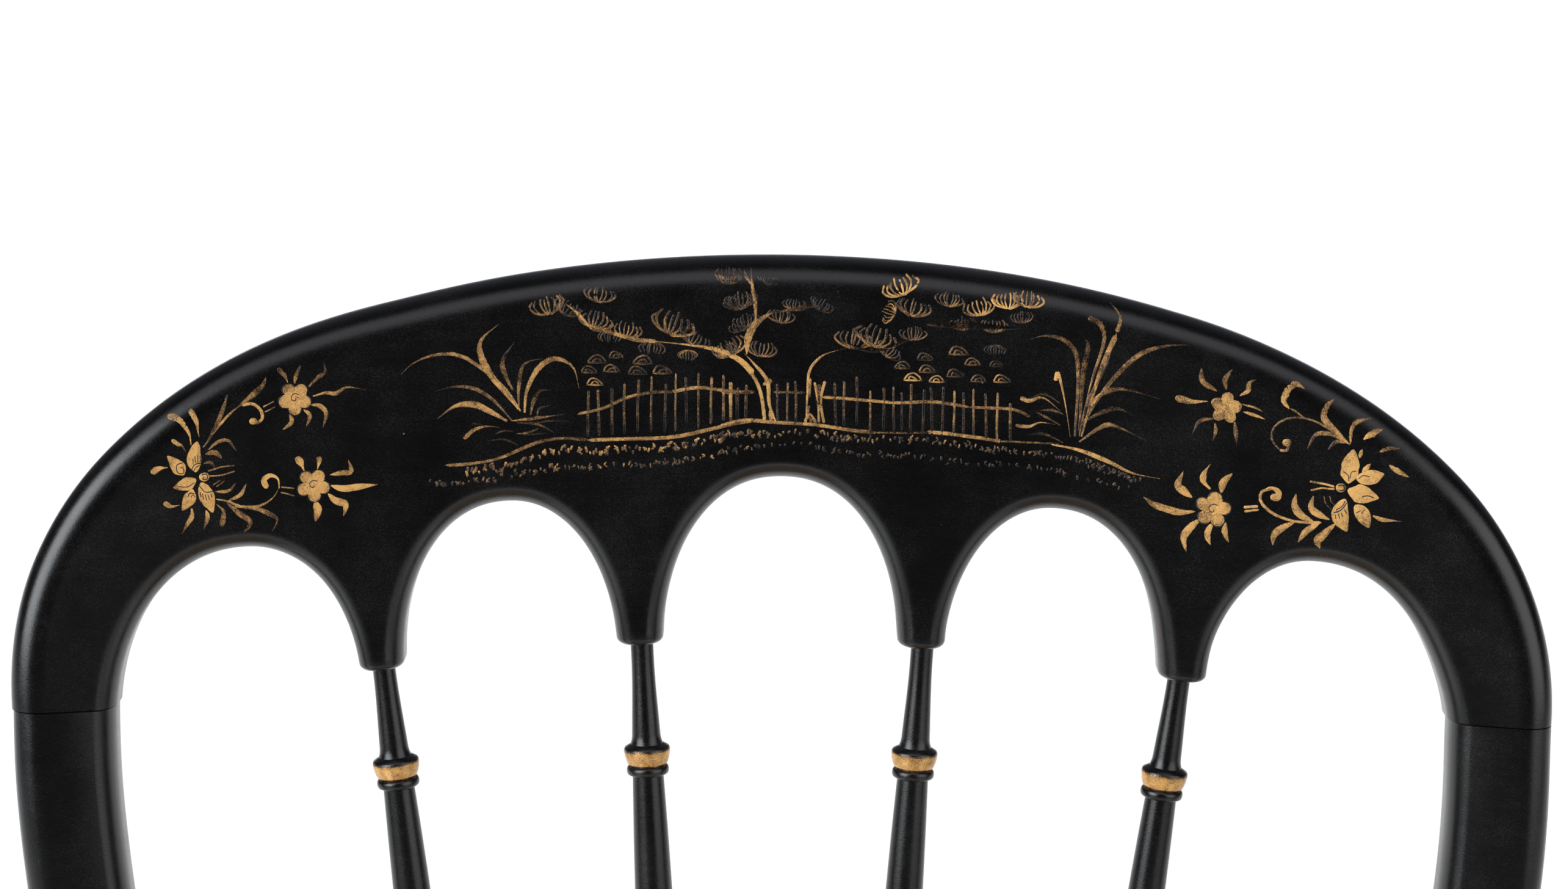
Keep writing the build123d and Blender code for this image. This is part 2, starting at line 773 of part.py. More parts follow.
for name, spindle in spindles.items():
    save(spindle, name)
for name, dowel in crest_dowels.items():
    save(dowel, name)
for name, stretcher in stretchers.items():
    save(stretcher, name)
save(crest_rail_finished, "crest_rail")
save(stile_left, "stile_left")
save(stile_right, "stile_right")
save(lower_back_rail, "lower_back_rail")
save(seat_rail_front, "seat_rail_front")
save(side_rails["left"], "seat_rail_left")
save(side_rails["right"], "seat_rail_right")
save(seat_rail_back, "seat_rail_back")
save(seat_dowels, "seat_dowels")
save(cane_panel, "cane_panel")
save(cane_binder, "cane_binder")
save(cane_pegs, "cane_pegs")
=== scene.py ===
import math

import bmesh
import bpy
import numpy as np
from mathutils import Matrix, Vector
from mathutils.geometry import delaunay_2d_cdt


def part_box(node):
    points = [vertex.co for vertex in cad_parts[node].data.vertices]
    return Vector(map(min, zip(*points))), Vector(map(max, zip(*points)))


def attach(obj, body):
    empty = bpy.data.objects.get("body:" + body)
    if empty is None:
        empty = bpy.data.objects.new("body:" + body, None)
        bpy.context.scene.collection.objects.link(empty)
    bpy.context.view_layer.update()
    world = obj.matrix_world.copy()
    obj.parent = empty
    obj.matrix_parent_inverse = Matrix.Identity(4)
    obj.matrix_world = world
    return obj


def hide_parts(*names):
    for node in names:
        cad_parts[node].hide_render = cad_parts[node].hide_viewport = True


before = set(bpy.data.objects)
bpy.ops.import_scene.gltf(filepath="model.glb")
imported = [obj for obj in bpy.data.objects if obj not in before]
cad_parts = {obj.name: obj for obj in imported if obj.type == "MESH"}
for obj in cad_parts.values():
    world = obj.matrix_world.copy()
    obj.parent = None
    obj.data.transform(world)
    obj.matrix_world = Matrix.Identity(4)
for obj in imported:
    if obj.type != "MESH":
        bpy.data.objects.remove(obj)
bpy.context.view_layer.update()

# The back in mm: x runs across, v up the rake from the joint of crest and posts, d to the rear of that joint
back = {"rake": math.radians(10), "bow": 700.0, "jointHeight": 732.0, "half": 205.3, "rise": 120.8, "thick": 21.0}
back |= {"jointWidth": 27.1, "edge": 9.5, "archEdge": 5.2, "archDepth": 1.4, "cupEdge": 1.8}
jointHalf = back["half"] - back["jointWidth"] / 2
rakeSin, rakeCos = math.sin(back["rake"]), math.cos(back["rake"])


def depthOf(x, offset=0.0):
    # Circle of the bow in plan: the middle surface at offset 0, the faces at half a thickness either way
    return np.sqrt((back["bow"] + offset) ** 2 - x**2) - math.sqrt(back["bow"] ** 2 - jointHalf**2)


def jointPlace():
    # The crest's rearmost point is the top edge's rounding, which ties the joint line to the CAD box
    reach = (back["rise"] - back["edge"]) * rakeSin + back["edge"]
    reach += (depthOf(0.0) + back["thick"] / 2 - back["edge"]) * rakeCos
    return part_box("crest_rail")[1][1] * 1000 - reach


jointY = jointPlace()


def onBack(x, v, d):
    # World places in mm: up the rake by v, and square to it by d
    y, z = jointY + v * rakeSin + d * rakeCos, back["jointHeight"] + v * rakeCos - d * rakeSin
    return np.stack(np.broadcast_arrays(x, y, z), axis=-1).astype(float)


def ease(share):
    share = np.clip(share, 0, 1)
    return share * share * (3 - 2 * share)


def mix(start, end, share):
    return start + (end - start) * share


def unit(vectors):
    return vectors / np.linalg.norm(vectors, axis=-1, keepdims=True)


def leftOf(vectors):
    # Plane vectors turned a quarter to the left
    return np.stack([-vectors[..., 1], vectors[..., 0]], axis=-1)


def lengthAlong(line):
    return np.concatenate([[0], np.cumsum(np.linalg.norm(np.diff(line, axis=0), axis=1))])


def placesAt(line, wanted):
    # Points of a line at the wanted lengths along it
    length = lengthAlong(line)
    return np.stack([np.interp(wanted, length, line[:, axis]) for axis in (0, 1)], axis=-1)


def gridFaces(rows, columns, closedRows=False, closedColumns=False):
    row, column = np.mgrid[: rows - (not closedRows), : columns - (not closedColumns)]
    nextRow, nextColumn = (row + 1) % rows, (column + 1) % columns
    corners = [row * columns + column, nextRow * columns + column]
    corners += [nextRow * columns + nextColumn, row * columns + nextColumn]
    return np.stack(corners, axis=-1).reshape(-1, 4)


def repeatFaces(faces, count, size):
    # The same faces on count grids of size points each
    return (faces + size * np.arange(count)[:, None, None]).reshape(-1, 4)


def ribbonFaces(rows, count):
    # Ribbons of four-cornered sections, closed at both ends
    ends = np.arange(4) + np.array([[0], [(rows - 1) * 4]])
    return repeatFaces(np.concatenate([gridFaces(rows, 4, closedColumns=True), ends]), count, rows * 4)


def makePiece(name, parts, material, nodes=(), sharp=35, attributes=None, weld=0.004):
    # parts: (points in mm, faces) pairs, joined, welded where they meet and turned outward
    offsets = np.cumsum([0] + [len(points) for points, _ in parts])
    points = np.concatenate([points for points, _ in parts]) * 0.001
    faces = [face for offset, (_, part) in zip(offsets, parts) for face in (np.asarray(part) + offset).tolist()]
    mesh = bpy.data.meshes.new(name)
    mesh.from_pydata(points, [], faces)
    for key, values in (attributes or {}).items():
        layer = mesh.attributes.new(key, "FLOAT", "POINT")
        layer.data.foreach_set("value", np.asarray(values, dtype=np.float32))
    shape = bmesh.new()
    shape.from_mesh(mesh)
    if weld:
        bmesh.ops.remove_doubles(shape, verts=shape.verts, dist=weld * 0.001)
    bmesh.ops.recalc_face_normals(shape, faces=shape.faces)
    shape.to_mesh(mesh)
    shape.free()
    mesh.shade_smooth()
    mesh.set_sharp_from_angle(angle=math.radians(sharp))
    mesh.materials.append(material)
    piece = bpy.data.objects.new(name, mesh)
    bpy.context.scene.collection.objects.link(piece)
    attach(piece, "root")
    if nodes:
        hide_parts(*nodes)
    return piece


# Shader nodes: inputs are values or other nodes' outputs, by socket
def feed(tree, socket, value):
    if isinstance(value, bpy.types.NodeSocket):
        tree.links.new(value, socket)
    else:
        socket.default_value = value


def addNode(tree, kind, inputs, **properties):
    node = tree.nodes.new("ShaderNode" + kind)
    for key, value in properties.items():
        setattr(node, key, value)
    for key, value in inputs.items():
        feed(tree, node.inputs[key], value)
    return node.outputs


def mathNode(tree, operation, *values):
    return addNode(tree, "Math", dict(enumerate(values)), operation=operation)[0]


def addUp(tree, total, masks, weights):
    # The total and every mask times its weight
    for name, weight in weights.items():
        total = mathNode(tree, "MULTIPLY_ADD", masks[name], weight, total)
    return total


def noiseNode(tree, place, scale, detail=3.0, roughness=0.5):
    # The scale is one number, or three that stretch the noise along the axes
    if isinstance(scale, tuple):
        place, scale = addNode(tree, "Mapping", {"Vector": place, "Scale": scale})["Vector"], 1.0
    inputs = {"Vector": place, "Scale": scale, "Detail": detail, "Roughness": roughness}
    return addNode(tree, "TexNoise", inputs)["Fac"]


def rampNode(tree, value, low, high):
    # 0 at low, 1 at high, smooth between
    inputs = {"Value": value, "From Min": low, "From Max": high}
    return addNode(tree, "MapRange", inputs, interpolation_type="SMOOTHSTEP")["Result"]


def mixColours(tree, share, *colours):
    first, second = ((*value, 1) if isinstance(value, tuple) else value for value in colours)
    return addNode(tree, "Mix", {0: share, 6: first, 7: second}, data_type="RGBA")[2]


def effectGroup(name, inputs, outputs, draw):
    # A shared effect: inputs are (kind, value) by name, outputs are kinds by name in the order of what draw gives
    group = bpy.data.node_groups.new(name, "ShaderNodeTree")
    for label, (kind, value) in inputs.items():
        socket = group.interface.new_socket(label, in_out="INPUT", socket_type="NodeSocket" + kind)
        socket.default_value = value
    for label, kind in outputs.items():
        group.interface.new_socket(label, in_out="OUTPUT", socket_type="NodeSocket" + kind)
    given, result = group.nodes.new("NodeGroupInput"), group.nodes.new("NodeGroupOutput")
    for label, source in zip(outputs, draw(group, given.outputs)):
        group.links.new(source, result.inputs[label])
    return group


# A noise is (scale, detail, roughness)
# The warm brown of worn edges is also a painted edge highlight, and the grey is a painted sheen
lacquerLook = {"black": (0.0016, 0.0015, 0.0016), "worn": (0.026, 0.011, 0.006), "sheenGrey": (0.0062, 0.0058, 0.0060)}
lacquerLook |= {"noises": {"streaks": ((30.0, 220.0, 420.0), 4.0, 0.6), "clouds": (26.0,)}}
lacquerLook["noises"] |= {"peel": (3200.0, 3.0, 0.6), "grain": (2800.0, 2.0, 0.7), "patch": (60.0, 4.0, 0.6)}
lacquerLook |= {"thinning": 0.15, "wearAndHighlight": {"streaks": 0.25}, "wearRamp": (0.45, 1.0)}
# The haze is a painted sheen: grey grain in patches that stands in for light glinting off the face
lacquerLook |= {"paintedSheen": {"grain": 1.0, "patch": 0.55}, "hazeRamp": (0.64, 1.14)}
lacquerLook |= {"dust": (0.30, 0.29, 0.27), "dustScale": 130.0, "dustSize": 0.035}
lacquerLook |= {"smooth": 0.10, "roughness": {"clouds": 0.12, "streaks": 0.08, "wearAndHighlight": 0.12, "paintedSheen": 0.14}}
lacquerLook |= {"height": {"peel": 0.8, "streaks": 0.2}, "relief": 0.00005, "dustLimit": 0.72, "dustCover": 0.5}


def drawLacquer(tree, given):
    # Colour: black, thinning to warm brown where the edge wear and a noise pass a limit, a brown that also paints
    # an edge highlight, with a painted sheen of grey grain in patches and rare dust specks. Roughness: the smooth
    # value plus clouds, streaks, edge wear and the sheen by their weights. Height: a fine orange peel plus weak brush
    # streaks.
    place, look = given["Place"], lacquerLook
    masks = {name: noiseNode(tree, place, *noise) for name, noise in look["noises"].items()}
    thin = mathNode(tree, "MULTIPLY", given["Edge Wear And Highlight"], mathNode(tree, "ADD", masks["clouds"], look["thinning"]))
    masks["wearAndHighlight"] = rampNode(tree, addUp(tree, thin, masks, look["wearAndHighlight"]), *look["wearRamp"])
    masks["paintedSheen"] = rampNode(tree, addUp(tree, 0.0, masks, look["paintedSheen"]), *look["hazeRamp"])
    cells = addNode(tree, "TexVoronoi", {"Vector": place, "Scale": look["dustScale"]})
    chance = addNode(tree, "SeparateColor", {0: cells["Color"]})
    size = mathNode(tree, "MULTIPLY", chance[1], look["dustSize"])
    chosen = mathNode(tree, "GREATER_THAN", chance[0], look["dustLimit"])
    speck = mathNode(tree, "MULTIPLY", chosen, mathNode(tree, "LESS_THAN", cells["Distance"], size))
    colour = mixColours(tree, masks["wearAndHighlight"], look["black"], look["worn"])
    colour = mixColours(tree, masks["paintedSheen"], colour, look["sheenGrey"])
    colour = mixColours(tree, mathNode(tree, "MULTIPLY", speck, look["dustCover"]), colour, look["dust"])
    return colour, addUp(tree, look["smooth"], masks, look["roughness"]), addUp(tree, 0.0, masks, look["height"])


giltLook = {"gold": (0.73, 0.405, 0.128), "deep": (0.14, 0.07, 0.027)}
giltLook |= {"grain": (3400.0, 2.0, 0.7), "patch": (380.0,), "drag": ((3.0, 9.0, 1.0), 2.0)}
giltLook |= {"loss": {"grain": -1.0, "patch": -0.60, "drag": -0.35}, "coverRamp": (-0.62, -0.22)}
giltLook |= {"goldRamp": (-0.42, 0.04), "smooth": 0.20, "roughness": {"cover": 0.26}, "metal": 0.35}
giltLook |= {"ringGain": 0.55, "ringBase": 0.42, "ringFull": 0.86, "ringRoughness": 0.02}


def drawGilt(tree, given):
    # Cover: the stroke's load less a coarse noise, a fine one and one along the brush, so thin paint breaks into
    # specks. Colour: what lies under it where there is no cover, deep brown gold where it is thin, bright gold
    # where it is full. Roughness: the smooth value plus the cover by its weight.
    look = giltLook
    masks = {name: noiseNode(tree, given["Place"], *look[name]) for name in ("grain", "patch")}
    masks["drag"] = noiseNode(tree, given["Brush"], *look["drag"])
    left = addUp(tree, given["Load"], masks, look["loss"])
    cover = rampNode(tree, left, *look["coverRamp"])
    gold = mixColours(tree, rampNode(tree, left, *look["goldRamp"]), look["deep"], look["gold"])
    roughness = addUp(tree, look["smooth"], {"cover": cover}, look["roughness"])
    return mixColours(tree, cover, given["Under"], gold), cover, roughness


placeInput = {"Place": ("Vector", (0, 0, 0))}
lacquerInputs = placeInput | {"Edge Wear And Highlight": ("Float", 0.0)}
giltInputs = placeInput | {"Load": ("Float", 1.0), "Under": ("Color", (0, 0, 0, 1)), "Brush": ("Vector", (0, 0, 0))}
lacquerOutputs = {"Colour": "Color", "Roughness": "Float", "Height": "Float"}
giltOutputs = {"Colour": "Color", "Cover": "Float", "Roughness": "Float"}
lacquerEffects = effectGroup("lacquerEffects", lacquerInputs, lacquerOutputs, drawLacquer)
giltEffects = effectGroup("giltEffects", giltInputs, giltOutputs, drawGilt)


def makeMaterial(name, draw, *values):
    # draw gives the shader's sockets by name
    material = bpy.data.materials.new(name)
    material.use_nodes = True
    tree = material.node_tree
    for socket, value in draw(tree, *values).items():
        feed(tree, tree.nodes["Principled BSDF"].inputs[socket], value)
    return material


def objectPlace(tree):
    return addNode(tree, "TexCoord", {})["Object"]


def attributeNode(tree, name):
    return addNode(tree, "Attribute", {}, attribute_name=name)["Fac"]


def bumpNode(tree, height, distance):
    return addNode(tree, "Bump", {"Height": height, "Distance": distance})["Normal"]


def drawPaint(tree, gilding=None):
    # Satin lacquer on its own; with the gilt of turned rings, whose gilt attribute says where it is; or under strokes
    # of brushed bronze paint, whose paintLoad says how thick it is and whose brush map runs along them
    place = objectPlace(tree)
    # Edge wear, which also paints a highlight along the crest's edges
    inputs = {"Place": place, "Edge Wear And Highlight": attributeNode(tree, "edgeWearAndHighlight")}
    base = addNode(tree, "Group", inputs, node_tree=lacquerEffects)
    sockets = {"Base Color": base["Colour"], "Roughness": base["Roughness"]}
    if gilding != "strokes":
        sockets["Normal"] = bumpNode(tree, base["Height"], lacquerLook["relief"])
    if not gilding:
        return sockets
    inputs = {"Place": place, "Under": base["Colour"]}
    if gilding == "strokes":
        inputs["Load"] = attributeNode(tree, "paintLoad")
        inputs["Brush"] = addNode(tree, "UVMap", {}, uv_map="brush")["UV"]
    else:
        load = mathNode(tree, "MULTIPLY_ADD", attributeNode(tree, "gilt"), giltLook["ringGain"], giltLook["ringBase"])
        inputs["Load"] = mathNode(tree, "MINIMUM", load, giltLook["ringFull"])
    coat = addNode(tree, "Group", inputs, node_tree=giltEffects)
    sockets["Base Color"] = coat["Colour"]
    sockets["Metallic"] = mathNode(tree, "MULTIPLY", coat["Cover"], giltLook["metal"])
    if gilding == "strokes":
        sockets["Roughness"] = coat["Roughness"]
    else:
        sockets["Roughness"] = mathNode(tree, "ADD", base["Roughness"], giltLook["ringRoughness"])
    return sockets


plainLook = {"wood": ((0.24, 0.13, 0.06), (0.40, 0.25, 0.13)), "cane": ((0.38, 0.23, 0.095), (0.62, 0.43, 0.21))}
plainLook |= {"woodGrain": ((40.0, 300.0, 300.0), 4.0), "caneTone": (60.0,), "caneFibre": (900.0, 2.0)}
plainLook |= {"fibreHeight": 0.00008, "woodRoughness": 0.6, "caneRoughness": 0.42}
plainLook |= {"floor": {"Base Color": (0.93, 0.93, 0.93, 1), "Roughness": 0.9, "Specular IOR Level": 0.1}}


def drawWood(tree):
    # Colour: two browns mixed by a noise stretched along x, for dowels and bare wood
    grain = noiseNode(tree, objectPlace(tree), *plainLook["woodGrain"])
    return {"Base Color": mixColours(tree, grain, *plainLook["wood"]), "Roughness": plainLook["woodRoughness"]}


def drawCane(tree):
    # Colour: straw to honey by a noise. Height: fine fibres, a noise of its own
    place = objectPlace(tree)
    colour = mixColours(tree, noiseNode(tree, place, *plainLook["caneTone"]), *plainLook["cane"])
    normal = bumpNode(tree, noiseNode(tree, place, *plainLook["caneFibre"]), plainLook["fibreHeight"])
    return {"Base Color": colour, "Roughness": plainLook["caneRoughness"], "Normal": normal}


print("materials")
lacquer = makeMaterial("lacquer", drawPaint)
gildedLacquer = makeMaterial("gildedLacquer", drawPaint, "rings")
gilt = makeMaterial("giltPaint", drawPaint, "strokes")
bareWood = makeMaterial("bareWood", drawWood)
caneStrand = makeMaterial("caneStrand", drawCane)
pale = makeMaterial("paleFloor", lambda tree: plainLook["floor"])


# Crest rail
crest = {"shoulder": (180.0, 67.2), "brow": (110.0, 107.5), "step": 1.6, "rounding": 12, "grid": 4.0}
crest |= {"outerWearAndHighlight": 0.35, "foot": 14.0, "archSteps": 900, "cutRun": 12.0, "border": 0.8, "gridGap": 0.6}
crest |= {"cupSteps": 6, "mergeGap": 1e-4}
arches = [
    {"apex": 0.0, "crown": 61.0, "near": (31.9, 13.0, 2.18), "far": (31.9, 13.0, 2.18)},
    {"apex": 73.0, "crown": 54.0, "near": (28.3, 10.0, 2.0), "far": (29.3, 10.0, 2.2)},
    {"apex": 143.0, "crown": 42.5, "near": (28.3, 0.0, 2.0), "far": (35.2, -6.0, 2.15)},
]
spindleAxes = {"inner": ((38.4, 15.0), (26.4, -205.0)), "outer": ((109.0, 8.5), (82.7, -205.0))}
pendants = (("outer", -1), ("inner", -1), ("inner", 1), ("outer", 1))
# Hand work: how far the made piece strays from the true drawing, in mm, left to right. A bulge of the hoop is
# (size, middle, spread); the outer feet of the end arches are (size, start, run)
stray = {"arches": (0.0, -0.3, -0.75, -0.95, -1.4), "necks": (0.6, -0.1, -0.1, -1.0), "cutSlope": 0.45}
stray |= {"bulges": ((1.6, -178.0, 36.0), (-0.7, -112.0, 26.0), (-1.7, 132.0, 42.0)), "bulgeRise": 40.0}
stray |= {"firstFoot": (0.9, -143.0, 20.0), "lastFoot": (0.45, 150.0, 25.0), "lastFootRise": 50.0}
stray |= {"archStart": 2.0, "archRise": 25.0, "jointRise": {-1: 0.5, 1: 1.9}}
stray |= {"stileLean": 0.85, "leanStart": 55.0, "leanTurn": 90.0, "leanEnd": 210.0, "rightStile": 0.45}


def tangentArc(start, end, tangent, step):
    # Circle through start and end that leaves start along tangent, and the direction in which it arrives
    start, end, tangent = (np.asarray(value, dtype=float) for value in (start, end, tangent))
    chord = end - start
    normal = unit(leftOf(tangent))
    radius = chord @ chord / (2 * chord @ normal)
    centre = start + normal * radius
    first = math.atan2(*(start - centre)[::-1])
    sweep = (math.atan2(*(end - centre)[::-1]) - first) % (2 * math.pi)
    sweep -= 2 * math.pi if radius < 0 else 0
    angles = first + sweep * np.linspace(0, 1, max(int(abs(sweep * radius) / step), 2) + 1)
    points = centre + abs(radius) * np.stack([np.cos(angles), np.sin(angles)], axis=-1)
    return points, np.array([-math.sin(angles[-1]), math.cos(angles[-1])]) * np.sign(sweep)


def outerOutline():
    # Top, brow and shoulder arcs of the right half, then mirrored; runs from the right joint to the left
    ends = [(0, back["rise"]), crest["brow"], crest["shoulder"], (back["half"], 0)]
    right, tangent = [np.array(ends[:1])], (1, 0)
    for start, end in zip(ends, ends[1:]):
        arc, tangent = tangentArc(start, end, tangent, crest["step"])
        right.append(arc[1:])
    right = np.concatenate(right)
    outline = np.concatenate([right[::-1], right[1:] * (-1, 1)])
    x, v = outline.T
    # Each bulge is a bell along x that fades out towards the joint
    bulge = sum(size * np.exp(-(((x - middle) / spread) ** 2)) for size, middle, spread in stray["bulges"])
    outward = -unit(leftOf(np.gradient(outline, axis=0)))
    return outline + outward * (bulge * ease(v / stray["bulgeRise"]))[:, None]


def archOutline(arch, side):
    # Two superellipse quarters on straight feet, from the left foot over the crown to the right foot
    halves = {}
    for key, direction in (("near", -side), ("far", side)):
        halfWidth, springing, power = arch[key]
        turn = np.linspace(0, math.pi / 2, crest["archSteps"])
        x = side * arch["apex"] + direction * halfWidth * np.cos(turn) ** (2 / power)
        v = springing + (arch["crown"] - springing) * np.sin(turn) ** (2 / power)
        halves[direction] = np.concatenate([[[x[0], springing - crest["foot"]]], np.stack([x, v], axis=-1)])
    return np.concatenate([halves[-1], halves[1][::-1][1:]])


def cutLine(name, side):
    # The end of a pendant, square to its spindle and a cup's rounding above it: a point and the way down
    (topX, topV), (footX, footV) = spindleAxes[name]
    down = unit(np.array([side * (footX - topX) * stray["cutSlope"], footV - topV]))
    return np.array([side * topX, topV]) - down * back["cupEdge"], down


def trim(points, cuts):
    # Keeps what lies above both cut lines, and ends exactly on them
    for number, (place, down) in enumerate(cuts):
        points = points if number == 0 else points[::-1]
        below = (points - place) @ down
        first = int(np.argmax(below < 0))
        share = below[first - 1] / (below[first - 1] - below[first]) if first else 0
        start = points[max(first - 1, 0)] * (1 - share) + points[first] * share
        points = np.concatenate([[start], points[first:]])
    return points[::-1]


def jointCut(side):
    # The crest's lower end, a hair above the true joint line on either side
    return np.array([0.0, stray["jointRise"][side]]), np.array([0.0, -1.0])


def crestStrips():
    # Each strip: outline in order round the board, its two cuts, and its edge: radius, depth of rounding, and the
    # strength of its edge wear, which is also a painted edge highlight
    hoopEdge = (back["edge"], back["edge"], crest["outerWearAndHighlight"])
    archEdge = (back["archEdge"], back["archEdge"] * back["archDepth"], 1.0)
    cuts = [jointCut(-1)] + [cutLine(*pendant) for pendant in pendants] + [jointCut(1)]
    strips = [(trim(outerOutline(), (cuts[-1], cuts[0])), cuts[-1], cuts[0], hoopEdge)]
    for number, (index, side) in enumerate(((2, -1), (1, -1), (0, 1), (1, 1), (2, 1))):
        outline = archOutline(arches[index], side)
        x, v = outline.T
        x += stray["arches"][number] * ease((v + stray["archStart"]) / stray["archRise"])
        if number == 0:
            size, start, run = stray["firstFoot"]
            x += size * ease((x - start) / run)
        if number == 4:
            size, start, run = stray["lastFoot"]
            x += size * (1 - ease(v / stray["lastFootRise"])) * ease((x - start) / run)
        outline = trim(outline, cuts[number : number + 2])
        reach = lengthAlong(outline)[-1]
        outline = placesAt(outline, np.linspace(0, reach, int(reach / crest["step"]) + 1))
        strips.append((outline, *cuts[number : number + 2], archEdge))
    return strips


def stripGrid(outline, firstCut, lastCut, edge):
    # Front edge rounding, wall and rear edge rounding at every outline point, as (x, v, depth)
    inward = unit(leftOf(np.gradient(outline, axis=0)))
    length = lengthAlong(outline)
    for (_, down), distance, end in ((firstCut, length, 0), (lastCut, length[-1] - length, -1)):
        # Near an end the rounding turns square to the cut
        across = leftOf(down) * np.sign(leftOf(down) @ inward[end])
        inward = unit(mix(inward, across, 1 - ease(distance / crest["cutRun"])[:, None]))
    radius, deep, worn = edge
    turn = np.linspace(0, math.pi / 2, crest["rounding"] + 1)
    inset = np.append(radius + crest["border"], radius * (1 - np.sin(turn)))
    drop = np.append(0, deep * (1 - np.cos(turn)))
    x, v = np.moveaxis(outline[:, None, :] + inset[:, None] * inward[:, None, :], -1, 0)
    front, rear = depthOf(x, -back["thick"] / 2) + drop, depthOf(x, back["thick"] / 2) - drop
    # Edge wear peaks in the middle of each rounding, where it also paints a highlight along the edge
    wearAndHighlight = np.broadcast_to(worn * np.sin(np.clip(drop / deep, 0, 1) * math.pi) ** 2, x.shape)
    pairs = ((x, x), (v, v), (front, rear), (wearAndHighlight, wearAndHighlight))
    x, v, depth, wearAndHighlight = (np.concatenate([first, second[:, ::-1]], axis=1) for first, second in pairs)
    return np.stack([x, v, depth], axis=-1), wearAndHighlight


def faceFill(loop, offset):
    # Triangles over the flat of a face: its loop and a grid of points inside it
    (lowX, lowV), (highX, highV), step = loop.min(axis=0), loop.max(axis=0), crest["grid"]
    inside = np.stack(np.meshgrid(np.arange(lowX, highX, step), np.arange(lowV, highV, step)), axis=-1).reshape(-1, 2)
    gap = np.linalg.norm(inside[:, None, :] - loop[None, ::2, :], axis=2).min(axis=1)
    points = np.concatenate([loop, inside[gap > step * crest["gridGap"]]])
    edges = [(number, (number + 1) % len(loop)) for number in range(len(loop))]
    result = delaunay_2d_cdt([Vector(point) for point in points], edges, [], 1, crest["mergeGap"])
    x, v = np.array([tuple(point) for point in result[0]]).T
    return onBack(x, v, depthOf(x, offset)), np.array(result[2])


def cupParts(firstProfile, lastProfile, name, side):
    # A pendant's end: its loop rounds in over the cup's edge to a flat end
    loop = np.concatenate([firstProfile, lastProfile[::-1]])
    place, down = cutLine(name, side)
    across = leftOf(down)
    local = np.stack([(loop[:, :2] - place) @ across, loop[:, 2]], axis=-1)
    low, high = local.min(axis=0), local.max(axis=0)
    middle, half = (low + high) / 2, (high - low) / 2
    turn = np.linspace(0, math.pi / 2, crest["cupSteps"])[:, None, None]
    shrunk = middle + (local - middle) * (1 - back["cupEdge"] * (1 - np.cos(turn)) / half)
    flat = place + shrunk[..., :1] * across + back["cupEdge"] * np.sin(turn) * down
    points = onBack(flat[..., 0], flat[..., 1], shrunk[..., 1]).reshape(-1, 3)
    columns = len(loop)
    faces = gridFaces(crest["cupSteps"], columns, closedColumns=True)
    return [(points, faces), (points[-columns:], [list(range(columns))])]


def buildCrest():
    strips = [stripGrid(*strip) for strip in crestStrips()]
    parts = [(onBack(*np.moveaxis(grid, -1, 0)).reshape(-1, 3), gridFaces(*grid.shape[:2])) for grid, _ in strips]
    for column, offset in ((0, -back["thick"] / 2), (-1, back["thick"] / 2)):
        parts.append(faceFill(np.concatenate([grid[:, column, :2] for grid, _ in strips]), offset))
    for first, last in ((0, 1), (5, 0)):
        loop = np.concatenate([strips[first][0][-1], strips[last][0][0][::-1]])
        parts.append((onBack(*loop.T), [list(range(len(loop)))]))
    for number, (name, side) in enumerate(pendants, start=1):
        parts += cupParts(strips[number][0][-1], strips[number + 1][0][0], name, side)
    wearAndHighlight = np.concatenate([values.ravel() for _, values in strips])
    wearAndHighlight = np.append(wearAndHighlight, np.zeros(sum(len(points) for points, _ in parts) - len(wearAndHighlight)))
    return makePiece("crestRail", parts, lacquer, ["crest_rail"], 50, {"edgeWearAndHighlight": wearAndHighlight})


print("crest rail")
buildCrest()

# Camera and setting
setting = {"floorHalf": 14.0, "cameraDistance": 1200.0, "pitch": 19.4, "roll": 0.8, "lens": 102.73}
setting |= {"sensor": 36.0, "clipEnd": 60.0}
setting |= {"focalPixels": 7331.0, "jointPixel": (-4.0, 443.0), "dimBefore": 0.1, "brightAfter": 0.9}
setting |= {"dim": (0.007, 0.007, 0.009), "bright": (0.13, 0.14, 0.16), "target": (0.0, 0.18, 0.78)}


def rolled(first, second):
    # A pair of directions, or of measures along them, turned by the camera's roll
    roll = math.radians(setting["roll"])
    return first * math.cos(roll) + second * math.sin(roll), -first * math.sin(roll) + second * math.cos(roll)


def cameraPlace():
    # The joint's centre shows at jointPixel from the middle of the frame; the camera pitches down, unrolled here
    pitch = math.radians(setting["pitch"])
    forward = np.array([0, math.cos(pitch), -math.sin(pitch)])
    up = np.array([0, math.sin(pitch), math.cos(pitch)])
    side = np.array([1.0, 0, 0])
    flatX, flatY = rolled(*setting["jointPixel"])
    reach = setting["cameraDistance"] / setting["focalPixels"]
    eye = onBack(0, 0, 0) - forward * setting["cameraDistance"] - side * flatX * reach + up * flatY * reach
    return forward, side, up, eye


# Gilt work on the crest's face. Each group of strokes is drawn on its own grid, whose corner and scale
# place it on a sheet held square to the camera, 0.21 mm to the unit; the sheet is laid on the face along
# the camera's rays. A stroke is (shape, full width, load of paint, points), in units of its grid.
sheet = {"unit": 0.21026, "centre": (1000.0, 566.8), "gridStep": 2.0, "height": 0.05, "lineLift": 1.1}
sheet |= {"gridX": (-208, 209), "gridV": (-4, 127), "longStations": 18, "shortStations": 9, "newtonSteps": 12}
cameraPose = cameraPlace()


